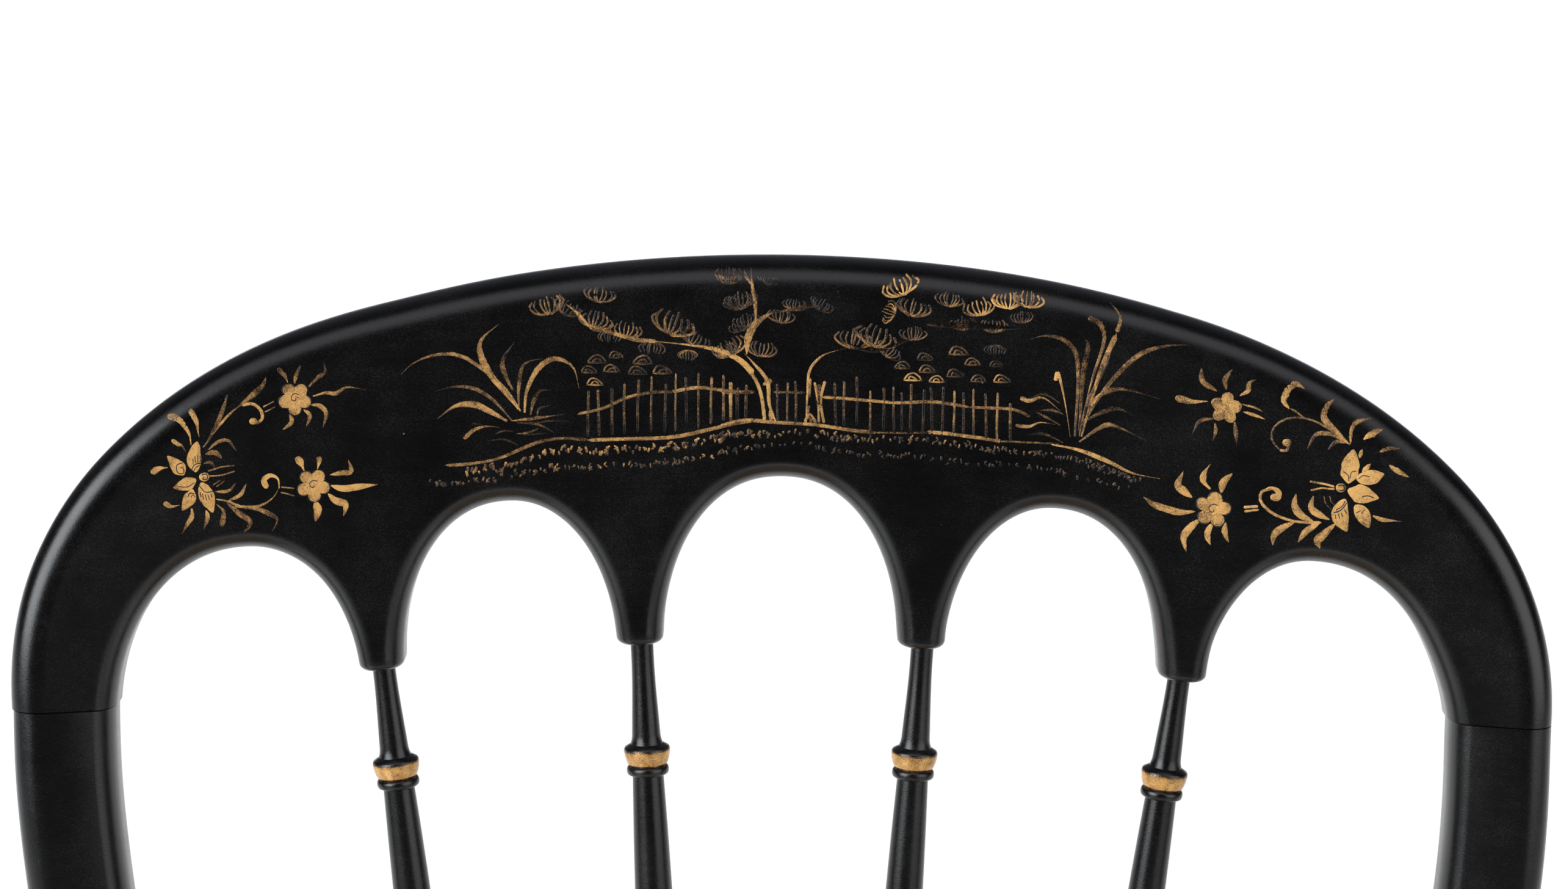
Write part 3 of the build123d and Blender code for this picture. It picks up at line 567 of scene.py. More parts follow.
def sheetToFace(place):
    # Where each ray through the sheet meets the bowed front face, by Newton steps along the ray
    reach = setting["cameraDistance"]
    right, down = rolled(*((place - np.array(sheet["centre"])) * sheet["unit"]).T)
    forward, side, up, eye = cameraPose
    ray = unit(forward * reach + right[:, None] * side - down[:, None] * up)
    rakeUp, rearward = np.array([0, rakeSin, rakeCos]), np.array([0, rakeCos, -rakeSin])
    travel = np.full(len(place), reach)
    for _ in range(sheet["newtonSteps"]):
        hit = eye + ray * travel[:, None] - onBack(0, 0, 0)
        travel -= (hit @ rearward - depthOf(hit[:, 0], -back["thick"] / 2)) / (ray @ rearward)
    hit = eye + ray * travel[:, None] - onBack(0, 0, 0)
    return np.stack([hit[:, 0], hit @ rakeUp], axis=-1)


def edgeDrops():
    # How far the face's edge roundings fall behind the face, on a grid over the crest
    gridX, gridV = (np.arange(*sheet[axis], sheet["gridStep"]) for axis in ("gridX", "gridV"))
    place = np.stack(np.meshgrid(gridX, gridV, indexing="ij"), axis=-1).reshape(-1, 2)
    drop = np.zeros(len(place))
    for outline, _, _, (radius, _, _) in crestStrips():
        away = np.linalg.norm(place[:, None, :] - outline[None, ::2, :], axis=2).min(axis=1)
        inner = radius - np.minimum(away, radius)
        drop = np.maximum(drop, radius - np.sqrt(radius**2 - inner**2))
    return gridX, gridV, drop.reshape(len(gridX), len(gridV))


def sampleDrop(drops, x, v):
    gridX, gridV, drop = drops
    column = np.clip((x - gridX[0]) / sheet["gridStep"], 0, len(gridX) - 1.001)
    row = np.clip((v - gridV[0]) / sheet["gridStep"], 0, len(gridV) - 1.001)
    left, low = column.astype(int), row.astype(int)
    shareX, shareV = column - left, row - low
    bottom = mix(drop[left, low], drop[left + 1, low], shareX)
    top = mix(drop[left, low + 1], drop[left + 1, low + 1], shareX)
    return mix(bottom, top, shareV)


# Shapes of stroke: widths as shares of the fullest, places as shares of the length
strokeShapes = {"blade": {"start": 0.38, "peak": 0.45, "loss": 0.92}, "drop": {"start": 0.14, "peak": 0.8}}
strokeShapes |= {"tail": {"peak": 0.15, "loss": 0.9}, "leaf": {"tip": 0.06, "shift": 0.9, "fullness": 0.85}}


def strokeShape(kind, share, endShare):
    # Half width along a stroke, 1 at its fullest. A blade swells to its peak and thins to a point, a drop swells to
    # a round end, a tail thins from a round start, a leaf is a sine's bow between pointed tips, a disc is a circle,
    # a line is even between round ends
    form = strokeShapes.get(kind)

    def roundEnd(part):
        part = np.clip(part / endShare, 0, 1)
        return np.sqrt(part * (2 - part))

    def swell():
        return mix(form["start"], 1, ease(share / form["peak"]))

    def thin():
        return 1 - form["loss"] * ease((share - form["peak"]) / (1 - form["peak"]))

    if kind == "blade":
        return swell() * thin()
    if kind == "drop":
        return swell() * roundEnd(1 - share)
    if kind == "tail":
        return roundEnd(share) * thin()
    if kind == "leaf":
        return mix(form["tip"], 1, np.sin(math.pi * np.clip(share, 0, 1) ** form["shift"]) ** form["fullness"])
    if kind == "disc":
        return np.sqrt(np.clip(1 - (2 * share - 1) ** 2, 0.01, 1))
    return roundEnd(share) * roundEnd(1 - share)


def smoothCurve(points, share):
    # Catmull-Rom curve through the points
    points = np.asarray(points, dtype=float)
    if len(points) == 2:
        return mix(points[0], points[1], share[:, None])
    ends = np.concatenate([[2 * points[0] - points[1]], points, [2 * points[-1] - points[-2]]])
    spot = share * (len(points) - 1)
    first = np.clip(spot.astype(int), 0, len(points) - 2)
    t = (spot - first)[:, None]
    a, b, c, d = ends[first], ends[first + 1], ends[first + 2], ends[first + 3]
    return 0.5 * (2 * b + (c - a) * t + (2 * a - 5 * b + 4 * c - d) * t**2 + (3 * b - a - 3 * c + d) * t**3)


# Cross-section of a stroke: across from -1 to 1, height from under the face to its crown
strokeSection = np.array([[-1.0, -0.6], [-0.72, 0.7], [0.0, 1.0], [0.72, 0.7], [1.0, -0.6], [0.0, -1.2]])
strokeForm = {"crowding": 0.6, "shortestEnd": 0.02, "longestEnd": 0.5, "unevenWidth": 0.10, "unevenPath": 0.035}
strokeForm |= {"leastHalf": 0.03, "fullHalf": 0.25, "drying": 0.16, "rimLoss": 0.13, "brushScale": (0.35, 0.5)}
strokeForm |= {"brushShift": 3.7}


def strokeBands(strokes, stations, drops, random, lift):
    # All strokes at once as bands of cross-sections: points, faces, load, brush map
    form, count, columns = strokeForm, len(strokes), len(strokeSection)
    kinds, widths, loads, paths = zip(*strokes)
    spread = np.linspace(0, 1, stations)
    share = mix(spread, (1 - np.cos(math.pi * spread)) / 2, form["crowding"])
    centres = np.concatenate([smoothCurve(path, share) for path in paths])
    centres = sheetToFace(centres).reshape(count, stations, 2)
    reach = np.linalg.norm(np.diff(centres, axis=1), axis=2).sum(axis=1)
    widths = np.array(widths) / 2
    ends = np.clip(widths / np.maximum(reach, 0.01), form["shortestEnd"], form["longestEnd"])
    shapes = np.stack([strokeShape(kind, share, end) for kind, end in zip(kinds, ends)])
    wobble = random.normal(0, 1, (2, count, stations))
    wobble = (wobble + np.roll(wobble, 1, axis=2) + np.roll(wobble, -1, axis=2)) / 3
    shapes = shapes * (1 + form["unevenWidth"] * wobble[0])
    across = leftOf(np.gradient(centres, axis=1))
    across /= np.maximum(np.linalg.norm(across, axis=2, keepdims=True), 1e-6)
    centres = centres + across * (form["unevenPath"] * wobble[1])[..., None]
    half = np.maximum(shapes * widths[:, None], form["leastHalf"])
    place = centres[:, :, None] + across[:, :, None] * half[:, :, None, None] * strokeSection[:, 0][:, None]
    x, v = place[..., 0], place[..., 1]
    thin = np.minimum(half / form["fullHalf"], 1)[:, :, None]
    height = strokeSection[:, 1] * sheet["height"] * thin + lift
    points = onBack(x, v, depthOf(x, -back["thick"] / 2) + sampleDrop(drops, x, v) - height).reshape(-1, 3)
    cap = np.array([[0, 1, 4, 5], [1, 2, 3, 4]])
    faces = (gridFaces(stations, columns, closedColumns=True), np.concatenate([cap, cap + (stations - 1) * columns]))
    faces = np.concatenate([repeatFaces(part, count, stations * columns) for part in faces])
    dry = form["drying"] * share[None, :, None] ** 2 + form["rimLoss"] * np.abs(strokeSection[:, 0]) ** 3
    loads = (np.array(loads)[:, None, None] - dry).ravel()
    alongScale, acrossScale = form["brushScale"]
    brushU = np.broadcast_to((share * reach[:, None])[..., None], x.shape) * alongScale
    brushV = np.broadcast_to(strokeSection[:, 0] * acrossScale, x.shape)
    brushV = brushV + np.arange(count)[:, None, None] * form["brushShift"]
    return points, faces, loads, np.stack([brushU, brushV], axis=-1).reshape(-1, 2)


def layStrokes(name, strokes, material, drops, lift=0.0):
    # One piece of strokes: long ones get more stations than short ones
    random = np.random.default_rng(len(strokes))
    long = [stroke for stroke in strokes if len(stroke[3]) > 2]
    short = [stroke for stroke in strokes if len(stroke[3]) <= 2]
    groups = [pair for pair in ((long, sheet["longStations"]), (short, sheet["shortStations"])) if pair[0]]
    points, faces, loads, brush = zip(*(strokeBands(*pair, drops, random, lift) for pair in groups))
    attributes = {"paintLoad": np.concatenate(loads)}
    piece = makePiece(name, list(zip(points, faces)), material, (), 60, attributes, 0)
    corners = np.zeros(len(piece.data.loops), dtype=np.int32)
    piece.data.loops.foreach_get("vertex_index", corners)
    layer = piece.data.uv_layers.new(name="brush")
    layer.data.foreach_set("uv", np.concatenate(brush)[corners].ravel().astype(np.float32))


def onSheet(group, part):
    # A group's strokes or lines in sheet units, their widths in mm
    (left, top), scale = group["corner"], group["scale"]
    return [
        (kind, width / scale * sheet["unit"], load, [(left + x / scale, top + y / scale) for x, y in points])
        for kind, width, load, points in group[part]
    ]


def readRows(text):
    # Rows of words end with a semicolon; what stands before a colon says what they draw
    return [row.split(":")[-1].split() for row in text.split(";") if row.strip()]


def readNumbers(text):
    return [[int(word) for word in row] for row in readRows(text)]


def readStrokes(text):
    # A stroke's row: shape, full width, load in hundredths, then x and y of each point
    strokes = []
    for shape, *numbers in readRows(text):
        width, load, *spots = map(int, numbers)
        strokes.append((shape, width, load / 100, list(zip(spots[::2], spots[1::2]))))
    return strokes


# Parts of a flower, as shares of its size
flowerForm = {"middle": 0.56, "middleReach": 0.28, "petalStart": 0.16, "petalWidth": 0.86, "petalFade": 0.02}
flowerForm |= {"line": 0.055, "arcPlace": 0.60, "arcReach": 0.40, "bends": (-1.5, -0.8, 0.0, 0.8, 1.5)}
flowerForm |= {"curlStart": 0.6, "curlTurn": 5.6, "curlPoints": 8}


def around(x, y, angle, reach):
    return x + math.cos(angle) * reach, y + math.sin(angle) * reach


def flower(x, y, size, turn, load):
    # Five round petals about a middle
    form, reach = flowerForm, size * flowerForm["middleReach"]
    petals = [("disc", size * form["middle"], load, [(x - reach, y), (x + reach, y)])]
    for number in range(5):
        angle = math.radians(turn + number * 72)
        ends = [around(x, y, angle, size * share) for share in (form["petalStart"], 1)]
        petals.append(("disc", size * form["petalWidth"], load - form["petalFade"] * number, ends))
    return petals


def flowerLines(x, y, size, turn):
    # Black lines: an arc round each petal's end and a curl in the middle
    form, width, paths = flowerForm, size * flowerForm["line"], []
    for number in range(5):
        angle = math.radians(turn + number * 72)
        spot = around(x, y, angle, size * form["arcPlace"])
        paths.append([around(*spot, angle + bend, size * form["arcReach"]) for bend in form["bends"]])
    turns = np.linspace(0, form["curlTurn"], form["curlPoints"])
    paths.append([around(x, y, bend, width * (bend + form["curlStart"])) for bend in turns])
    return [("line", width, 1, path) for path in paths]


leftSpray = {"corner": (170, 430), "scale": 4.624}
leftSpray["strokes"] = flower(953, 362, 100, -54, 0.98) + flower(1062, 873, 100, -60, 1.0) + readStrokes("""
    rays of the upper flower: drop 34 74 912 268 892 225 850 185; leaf 28 70 950 275 962 220 988 165;
    blade 28 66 1035 292 1085 240 1130 205 1122 138; blade 26 78 1060 348 1130 328 1195 332 1260 295 1375 312;
    leaf 32 78 1045 398 1100 405 1138 450 1118 532; leaf 28 82 1005 425 1042 465 1020 528;
    leaf 30 84 922 455 934 500 880 548;
    twin threads, curl and stem: line 9 76 765 412 832 376; line 9 76 775 442 838 410;
    line 20 88 640 402 700 392 750 430 760 480 722 512; disc 46 92 684 496 732 496;
    blade 17 78 412 650 480 555 550 470 618 412 700 362; leaf 42 66 618 412 700 345 758 290 784 235;
    leaf 32 62 425 640 490 520 530 420 558 328;
    leaves about the large flower: drop 42 84 342 635 325 560 270 490 195 468; drop 38 86 387 585 372 500 332 425;
    tail 30 78 226 604 262 630 285 640 310 674; drop 46 94 202 768 150 775 105 802;
    drop 34 84 275 990 220 998 180 975; blade 34 84 345 1010 345 1060 315 1110 288 1158;
    leaf 28 84 430 1020 438 1065 416 1132; drop 34 74 492 985 532 1030 522 1118;
    leaf 26 70 440 665 500 618 560 610 608 670; leaf 38 70 425 690 480 680 524 716;
    leaf 20 58 415 745 455 738 482 772;
    petals and bud of the large flower: leaf 104 100 368 796 358 710 376 614; leaf 92 100 300 812 262 765 202 700;
    leaf 84 100 370 838 310 868 236 888; leaf 86 100 350 896 330 955 288 1022; leaf 102 100 402 856 434 940 470 1034;
    disc 60 100 388 824 448 824;
    threads and lower sprig: line 10 72 440 790 520 765 600 756; line 10 72 445 820 520 813 600 790;
    line 8 62 470 872 522 838; line 8 62 490 882 540 846;
    blade 20 82 490 955 560 968 640 1000 740 996 820 950 862 885;
    drop 40 100 862 890 852 835 808 815 770 845 790 892; leaf 28 82 560 965 630 930 667 864;
    leaf 24 80 482 912 560 906 606 860; leaf 38 70 548 972 620 1035 690 1092 648 1158;
    blade 34 70 600 1000 720 1010 800 1040 850 1080 812 1158;
    rays of the lower flower: drop 52 96 1008 790 990 745 962 706; drop 36 90 1086 780 1095 740 1097 702;
    leaf 36 86 1160 812 1230 800 1284 790 1268 722; leaf 50 100 1165 875 1240 892 1330 882 1440 868;
    leaf 50 92 1148 922 1195 965 1252 985 1240 1054; leaf 54 96 1072 962 1088 1020 1074 1086;
    line 9 80 872 884 952 892; line 9 80 868 914 952 936;
""")
leftSpray["lines"] = flowerLines(953, 362, 100, -54) + flowerLines(1062, 873, 100, -60) + readStrokes("""
    line 5 100 350 715 354 752; line 5 100 364 700 368 742; line 5 100 379 695 382 738; line 5 100 394 702 395 738;
    line 6 100 342 786 362 752 402 742; line 5 100 355 792 372 764 400 756;
    line 6 100 292 738 256 756 262 800 298 802 292 770 276 772; line 5 100 262 880 318 882 362 856;
    line 6 100 386 872 424 912 472 908; line 5 100 394 912 400 944; line 5 100 408 920 416 958;
    line 5 100 424 926 434 964; line 5 100 440 926 450 958; line 5 100 456 922 464 946;
    line 6 100 322 944 334 920 362 924; line 5 100 340 946 350 930 366 940;
    line 6 100 402 812 432 808 436 836 412 838 416 822;
""")

rightSpray = {"corner": (1440, 440), "scale": 4.110}
rightSpray["strokes"] = flower(508, 330, 84, -80, 0.88) + flower(440, 862, 96, -78, 0.96) + readStrokes("""
    rays of the worn upper flower: leaf 38 73 462 242 388 190 380 122; leaf 30 70 510 232 504 180 545 126;
    leaf 28 77 580 265 625 240 630 200 666 180; drop 42 85 412 295 330 296 242 276;
    leaf 14 75 590 310 650 325 704 350; leaf 20 85 600 350 650 365 714 388; blade 26 65 440 385 370 400 332 465;
    blade 24 67 450 410 455 450 440 502; blade 28 65 555 405 560 460 565 532;
    rays, threads and curl of the lower flower: leaf 48 88 332 800 288 765 256 730 285 662;
    blade 36 94 425 755 390 712 396 668 428 624; leaf 46 88 483 775 495 720 542 672;
    leaf 46 86 348 872 270 876 200 860 130 835 76 796; leaf 48 94 378 908 318 960 286 1010 300 1082;
    leaf 38 90 440 930 410 990 426 1048; leaf 36 86 508 930 502 980 522 1034; line 18 92 600 850 678 845;
    line 14 90 604 872 682 862; line 18 90 1010 930 930 930 850 920 750 880 692 820 698 768 752 752;
    drop 48 96 700 768 740 748 782 768 774 800 742 790;
    leaves of the lower sprig: leaf 48 90 972 930 900 890 868 840 876 780;
    leaf 44 90 1052 915 990 885 954 850 968 790; leaf 42 84 872 925 800 960 762 995 752 1050;
    leaf 38 86 1002 930 930 975 886 1034; leaf 50 84 1082 935 1012 1000 988 1030 1006 1074;
    large flower: leaf 114 100 1150 726 1160 640 1178 548; leaf 96 100 1192 704 1262 694 1338 676;
    leaf 108 100 1146 762 1222 782 1310 802; leaf 108 96 1132 806 1106 890 1142 978;
    leaf 100 92 1186 838 1226 890 1258 958; leaf 24 90 1208 592 1222 546; leaf 28 86 1222 668 1268 622;
    disc 54 77 1084 748 1138 748; line 12 94 1078 742 1010 725 948 714; line 11 90 1078 756 1010 750 952 762;
    worn upper sprig: leaf 42 78 1158 522 1080 450 1022 380 1040 320 1086 286;
    leaf 26 77 1160 520 1168 440 1200 404 1278 390;
    line 12 71 1150 515 1040 435 950 390 850 380 770 420 748 490 790 550; disc 48 81 804 512 852 512;
    line 16 75 790 550 824 552 840 530; blade 14 75 925 386 870 345 838 332;
    leaf 40 85 840 335 812 290 838 230 880 208 924 232; leaf 28 73 1132 500 1050 465 980 470 934 544;
    leaf 22 67 1150 515 1090 505 1042 548; leaf 36 86 1228 496 1280 465 1338 446;
    leaf 26 69 1314 562 1355 545 1434 545; leaf 32 85 1364 630 1410 660 1468 694;
    blade 28 85 1280 895 1330 915 1432 924; line 5 71 1022 790 1032 830 1062 862;
    line 5 71 1052 790 1060 820 1078 838;
""")
rightSpray["lines"] = flowerLines(440, 862, 96, -78) + readStrokes("""
    line 7 100 1072 880 1112 864 1142 826; line 6 100 1084 866 1116 846 1134 816; line 5 100 1082 888 1086 912;
    line 5 100 1098 884 1104 910; line 5 100 1114 878 1122 902; line 5 100 1130 862 1140 884;
    line 5 100 1190 880 1214 868; line 5 100 1218 884 1234 862; line 5 100 1124 662 1150 684 1152 712;
    line 5 100 1158 700 1166 668 1192 660; line 6 100 1220 796 1252 790 1286 802;
    line 5 100 1204 700 1228 684 1262 690; line 6 100 1094 736 1124 736 1126 760 1102 762;
""")

# Pairs are mostly ranges of random draws. A rib is (out, up), a dome (share, fading) and its points (out, lean, up)
scenery = {"ribs": ((0.06, 0.0), (0.60, -0.18), (0.88, -0.52), (0.70, -0.88)), "needles": 8, "spread": (-0.07, 0.07)}
scenery |= {"reach": (0.82, 1.1), "shake": (-0.03, 0.03), "needle": (0.075, 0.10), "load": (0.84, 1.12)}
scenery |= {"fanReach": 1.04, "outerShort": 0.14, "outerThick": 0.3, "domes": ((1.0, 0.0), (0.48, 0.02))}
scenery |= {"dome": ((-1, 0, 0), (-0.55, 0.5, 0.8), (0, 1, 1), (0.6, 0.4, 0.6), (1, 0, 0)), "skew": (-0.1, 0.15)}
scenery |= {"hillHalf": 0.42, "hillHigh": 0.33, "hillLine": 0.095, "base": ((-0.46, 2), (0.50, 3)), "baseLine": 0.12}
scenery |= {"baseFade": 0.02, "bunch": (1, 4), "bunchStep": 0.75, "along": (-0.3, 0.3), "away": (-0.55, 0.55)}
scenery |= {"slant": (-0.35, 0.5), "long": (0.5, 1.15), "bent": 0.3, "bend": (-0.5, 0.5), "dab": (0.32, 0.50)}
scenery |= {"lean": (-4, 4), "bow": (-2, 2), "postWidth": (0.85, 1.15), "postLoad": 0.84}


def fan(x, y, size, load, random, aim):
    # A pad of pine needles: strokes that leave a foot, bulge out and close again, like the ribs of a shell
    turn = math.radians(aim + 90)
    made = []
    for number in range(scenery["needles"]):
        share = number / (scenery["needles"] - 1) * 2 - 1 + random.uniform(*scenery["spread"])
        reach = size * (scenery["fanReach"] - scenery["outerShort"] * abs(share)) * random.uniform(*scenery["reach"])
        path = []
        for out, up in scenery["ribs"]:
            across, along = share * out * size, up * reach + random.uniform(*scenery["shake"]) * size
            path.append((x + across * math.cos(turn) - along * math.sin(turn),
                         y + across * math.sin(turn) + along * math.cos(turn)))
        width = size * random.uniform(*scenery["needle"]) * (1 + scenery["outerThick"] * abs(share))
        made.append(("line", width, load * random.uniform(*scenery["load"]), path))
    return made


def hill(x, y, size, load, random):
    # A far hill: a dome, a smaller one inside it and a base line
    made = []
    for share, lift in scenery["domes"]:
        half, high = size * scenery["hillHalf"] * share, size * scenery["hillHigh"] * share
        skew = random.uniform(*scenery["skew"]) * size
        dome = [(x + half * out + skew * lean, y - high * up) for out, lean, up in scenery["dome"]]
        made.append(("line", size * scenery["hillLine"], load - lift, dome))
    base = [(x + size * out, y + down) for out, down in scenery["base"]]
    return made + [("leaf", size * scenery["baseLine"], load - scenery["baseFade"], base)]


def stipple(line, rows, load, random, size):
    # Short dabs in loose bunches along a line, as ground below it
    made = []
    for middleX, middleY in smoothCurve(line, np.linspace(0, 1, rows)):
        bunch = random.integers(*scenery["bunch"])
        for number in range(bunch):
            shift = (number - bunch / 2) * size * scenery["bunchStep"]
            x = middleX + shift + random.uniform(*scenery["along"]) * size
            y = middleY + random.uniform(*scenery["away"]) * size
            slant = random.uniform(*scenery["slant"]) * size
            long = random.uniform(*scenery["long"]) * size
            path = [(x + slant * 0.5, y - long * 0.5), (x - slant * 0.5, y + long * 0.5)]
            if random.uniform() < scenery["bent"]:
                path.insert(1, (x + random.choice(scenery["bend"]) * size, y))
            width = size * random.uniform(*scenery["dab"])
            made.append(("line", width, load * random.uniform(*scenery["load"]), path))
    return made


def post(x, top, foot, load, width, random):
    # An upright fence post
    lean = random.uniform(*scenery["lean"])
    points = [(x + lean, top), (x + random.uniform(*scenery["bow"]), (top + foot) / 2), (x - lean * 0.5, foot)]
    return "line", width * random.uniform(*scenery["postWidth"]), load * scenery["postLoad"], points


def landscape(scene):
    # Loads are in hundredths. Posts: x, top, foot, load. Fans: x, y, size, load, aim. Hills: x, y, size, load.
    # Ground: rows of dabs, load, size of a dab, then x and y of each point of its line
    random = np.random.default_rng(scene["seed"])
    strokes = readStrokes(scene["drawn"])
    for x, top, foot, load in readNumbers(scene["posts"]):
        strokes.append(post(x, top, foot, load / 100, scene["postWidth"], random))
    for x, y, size, load, aim in readNumbers(scene["fans"]):
        strokes += fan(x, y, size, load / 100, random, aim)
    for x, y, size, load in readNumbers(scene["hills"]):
        strokes += hill(x, y, size, load / 100, random)
    for rows, load, size, *spots in readNumbers(scene["ground"]):
        strokes += stipple(list(zip(spots[::2], spots[1::2])), rows, load / 100, random, size)
    return scene | {"strokes": strokes}


leftScene = {"corner": (500, 330), "scale": 3.340, "seed": 21, "postWidth": 11.0, "drawn": """
    grass clump: blade 19 76 548 650 490 560 400 480 290 412 180 410 90 445 38 492;
    blade 36 82 540 640 440 520 385 430 378 350 452 280; blade 26 62 515 560 480 490 472 430 522 354;
    blade 20 66 540 640 541 540 562 450 642 424; blade 28 78 565 655 575 560 620 470 692 424 770 460 797 552;
    blade 20 62 590 665 602 610 632 562 677 560; blade 10 60 618 672 628 638 678 622;
    blade 20 66 512 690 430 600 350 552 260 545 178 566; blade 34 82 490 690 420 652 350 620 270 628 192 682;
    tail 20 72 305 768 350 728 400 714 456 718; blade 16 72 512 690 600 680 735 662;
    leaf 12 58 530 698 620 705 692 742; leaf 9 50 436 748 480 732 524 736; leaf 9 48 398 776 480 770 542 798;
    leaf 11 62 528 746 580 740 625 722; leaf 8 50 600 700 680 690 752 692; leaf 8 46 560 752 620 745 672 742;
    leaf 7 44 340 700 385 706;
    ground and rail: line 15 71 226 880 340 872 450 852 560 806 640 776 730 764 840 770;
    line 18 77 830 772 1000 768 1190 760 1330 732 1450 704 1560 684;
    line 15 71 790 662 900 636 1000 592 1100 570 1200 565; line 17 75 1190 566 1310 548 1440 564 1545 568;
    branch of the left tree: tail 30 90 1540 490 1480 430 1380 386 1250 365 1120 352;
    line 20 77 1130 352 1050 345 980 328 905 306 850 300; blade 17 84 850 300 812 256 770 214 718 178;
""", "posts": """
    835 560 760 66; 880 555 755 72; 938 550 752 68; 990 530 748 74; 1048 512 740 68; 1105 500 742 74;
    1164 530 742 62; 1208 488 737 84; 1253 503 700 58; 1305 484 726 74; 1360 503 706 80; 1411 494 690 80;
    1442 524 690 92; 1470 560 690 58; 1507 535 682 72;
""", "fans": """
    672 236 84 66 -105; 880 186 78 62 -80; 856 296 86 70 -75; 990 336 76 70 -80; 1180 322 112 64 -70;
    1275 366 74 56 -60; 1450 410 84 66 -110; 1430 92 64 56 -90; 1492 208 76 60 -95; 1512 292 64 54 -100;
    1110 352 60 56 95; 925 306 56 56 90; 730 236 70 55 -60; 1260 388 50 66 90;
""", "hills": """
    872 440 92 58; 955 418 70 62; 840 482 78 56; 935 478 82 60; 1066 444 96 62; 1046 488 92 56; 1152 486 96 60;
    864 535 80 82;
""", "ground": """
    24 74 24 330 905 480 885 620 838 760 808 900 820; 22 74 25 900 820 1050 812 1200 802 1320 778 1530 738;
    20 60 20 190 955 300 955 430 940 600 905 700 888;
    24 66 20 700 888 850 885 1000 880 1180 868 1300 850 1530 805;
"""}

rightScene = {"corner": (920, 330), "scale": 2.826, "seed": 22, "postWidth": 9.5, "drawn": """
    trunk and upright branch of the left tree: line 15 87 156 586 146 500 116 425 52 357 -6 326;
    blade 16 90 196 588 172 520 166 440 112 372 82 342; leaf 26 80 150 455 172 442 176 432;
    blade 22 84 176 590 180 560 172 520; leaf 32 80 92 345 98 280 130 228 186 192;
    blade 18 80 124 240 122 160 112 96 106 36; leaf 12 74 112 96 92 70 82 44;
    blade 16 58 180 194 260 182 330 170 402 182;
    small tree and stump: blade 13 84 306 590 310 500 316 410 345 366 382 340 448 324;
    line 10 83 336 444 348 510 352 592; line 12 85 374 440 358 510 370 592; line 24 62 352 452 350 530;
    line 12 81 300 590 318 560 342 592; line 10 73 318 530 312 562 326 590; line 8 70 322 430 318 500;
    rails and ground: line 14 66 -2 480 112 481; line 10 66 186 480 302 482;
    line 13 79 362 498 450 504 545 512 640 520 760 515 900 535; line 12 71 895 535 1030 540 1080 552 1112 570;
    line 16 83 -6 604 80 582 180 588 300 596; line 15 77 290 594 370 602 470 618 560 626;
    line 8 60 560 626 660 628 760 626; line 15 81 740 624 830 632 920 644 1010 658;
    line 8 62 1000 657 1110 662 1220 668; blade 18 86 1190 668 1290 690 1390 728 1480 772 1582 792;
    grass clump: blade 22 64 1275 640 1286 450 1278 340 1230 290 1165 278 1112 290;
    blade 24 60 1290 620 1304 420 1322 320 1308 282; drop 22 68 1290 630 1335 440 1380 300 1368 238 1322 212;
    blade 22 74 1298 640 1365 410 1425 270 1440 212 1404 162;
    blade 22 66 1300 600 1390 460 1500 350 1600 315 1700 312; blade 18 66 1320 530 1380 484 1450 470 1584 506;
    blade 20 56 1298 592 1380 550 1430 540 1494 566; blade 20 68 1290 660 1370 606 1420 602 1534 656;
    blade 12 62 1290 640 1320 520 1390 380 1404 330; tail 16 92 1204 440 1214 412 1236 500 1258 642;
    tail 20 76 1078 500 1110 512 1160 500 1222 548; tail 14 76 1060 600 1110 604 1150 590 1206 598;
    blade 11 56 1232 560 1190 545 1130 548; blade 11 56 1222 600 1170 570 1120 545;
    blade 11 50 1232 662 1160 630 1090 636; blade 9 54 1220 520 1165 488 1106 502;
    tail 18 88 1332 532 1360 495 1400 462;
    worn smears: leaf 34 42 740 238 900 240 1084 252; leaf 22 40 440 300 560 330 700 280;
""", "posts": """
    10 420 584 78; 35 445 586 90; 58 462 580 60; 90 455 576 64; 202 450 590 68; 238 444 592 74; 268 440 592 70;
    412 445 600 66; 442 440 602 72; 488 424 600 62; 537 474 650 78; 585 464 620 60; 622 460 622 64;
    650 480 620 58; 682 450 622 72; 728 470 640 58; 758 462 640 60; 797 460 640 64; 838 474 642 84;
    873 480 636 62; 910 468 642 86; 954 484 652 72; 995 482 656 92; 1042 520 656 72;
""", "fans": """
    30 92 52 54 -90; 62 184 58 56 -95; 76 262 46 50 -110; 140 352 62 66 -80; 30 350 50 62 -120; 160 92 44 46 -70;
    212 232 54 66 -80; 262 186 48 60 -80; 350 184 50 46 -60; 470 322 76 66 -80; 545 316 86 62 -70;
    590 350 56 54 -50; 656 132 76 84 -110; 684 206 72 66 -75; 626 200 50 74 200; 692 294 54 66 -90;
    820 172 58 66 -80; 940 204 66 76 -105; 1034 182 66 92 -90; 1102 176 62 82 -80; 984 266 56 66 -90;
    872 258 52 56 -90; 1084 232 46 56 -90; 986 310 42 54 90;
""", "hills": """
    735 362 68 58; 652 392 66 60; 742 406 70 62; 690 436 74 86; 775 442 62 82; 855 342 80 66; 905 380 66 62;
    844 422 72 54; 990 386 56 48; 926 440 64 60; 1012 442 72 74;
""", "ground": """
    24 66 19 0 640 90 628 180 632 300 626 440 645; 26 64 17 440 650 600 650 750 655 900 672 1000 688;
    26 60 16 1000 688 1150 700 1300 730 1400 762 1500 800; 18 52 16 0 692 120 680 280 668 400 690 520 710;
    26 54 16 540 705 700 712 860 735 1040 740 1240 772 1480 830;
"""}


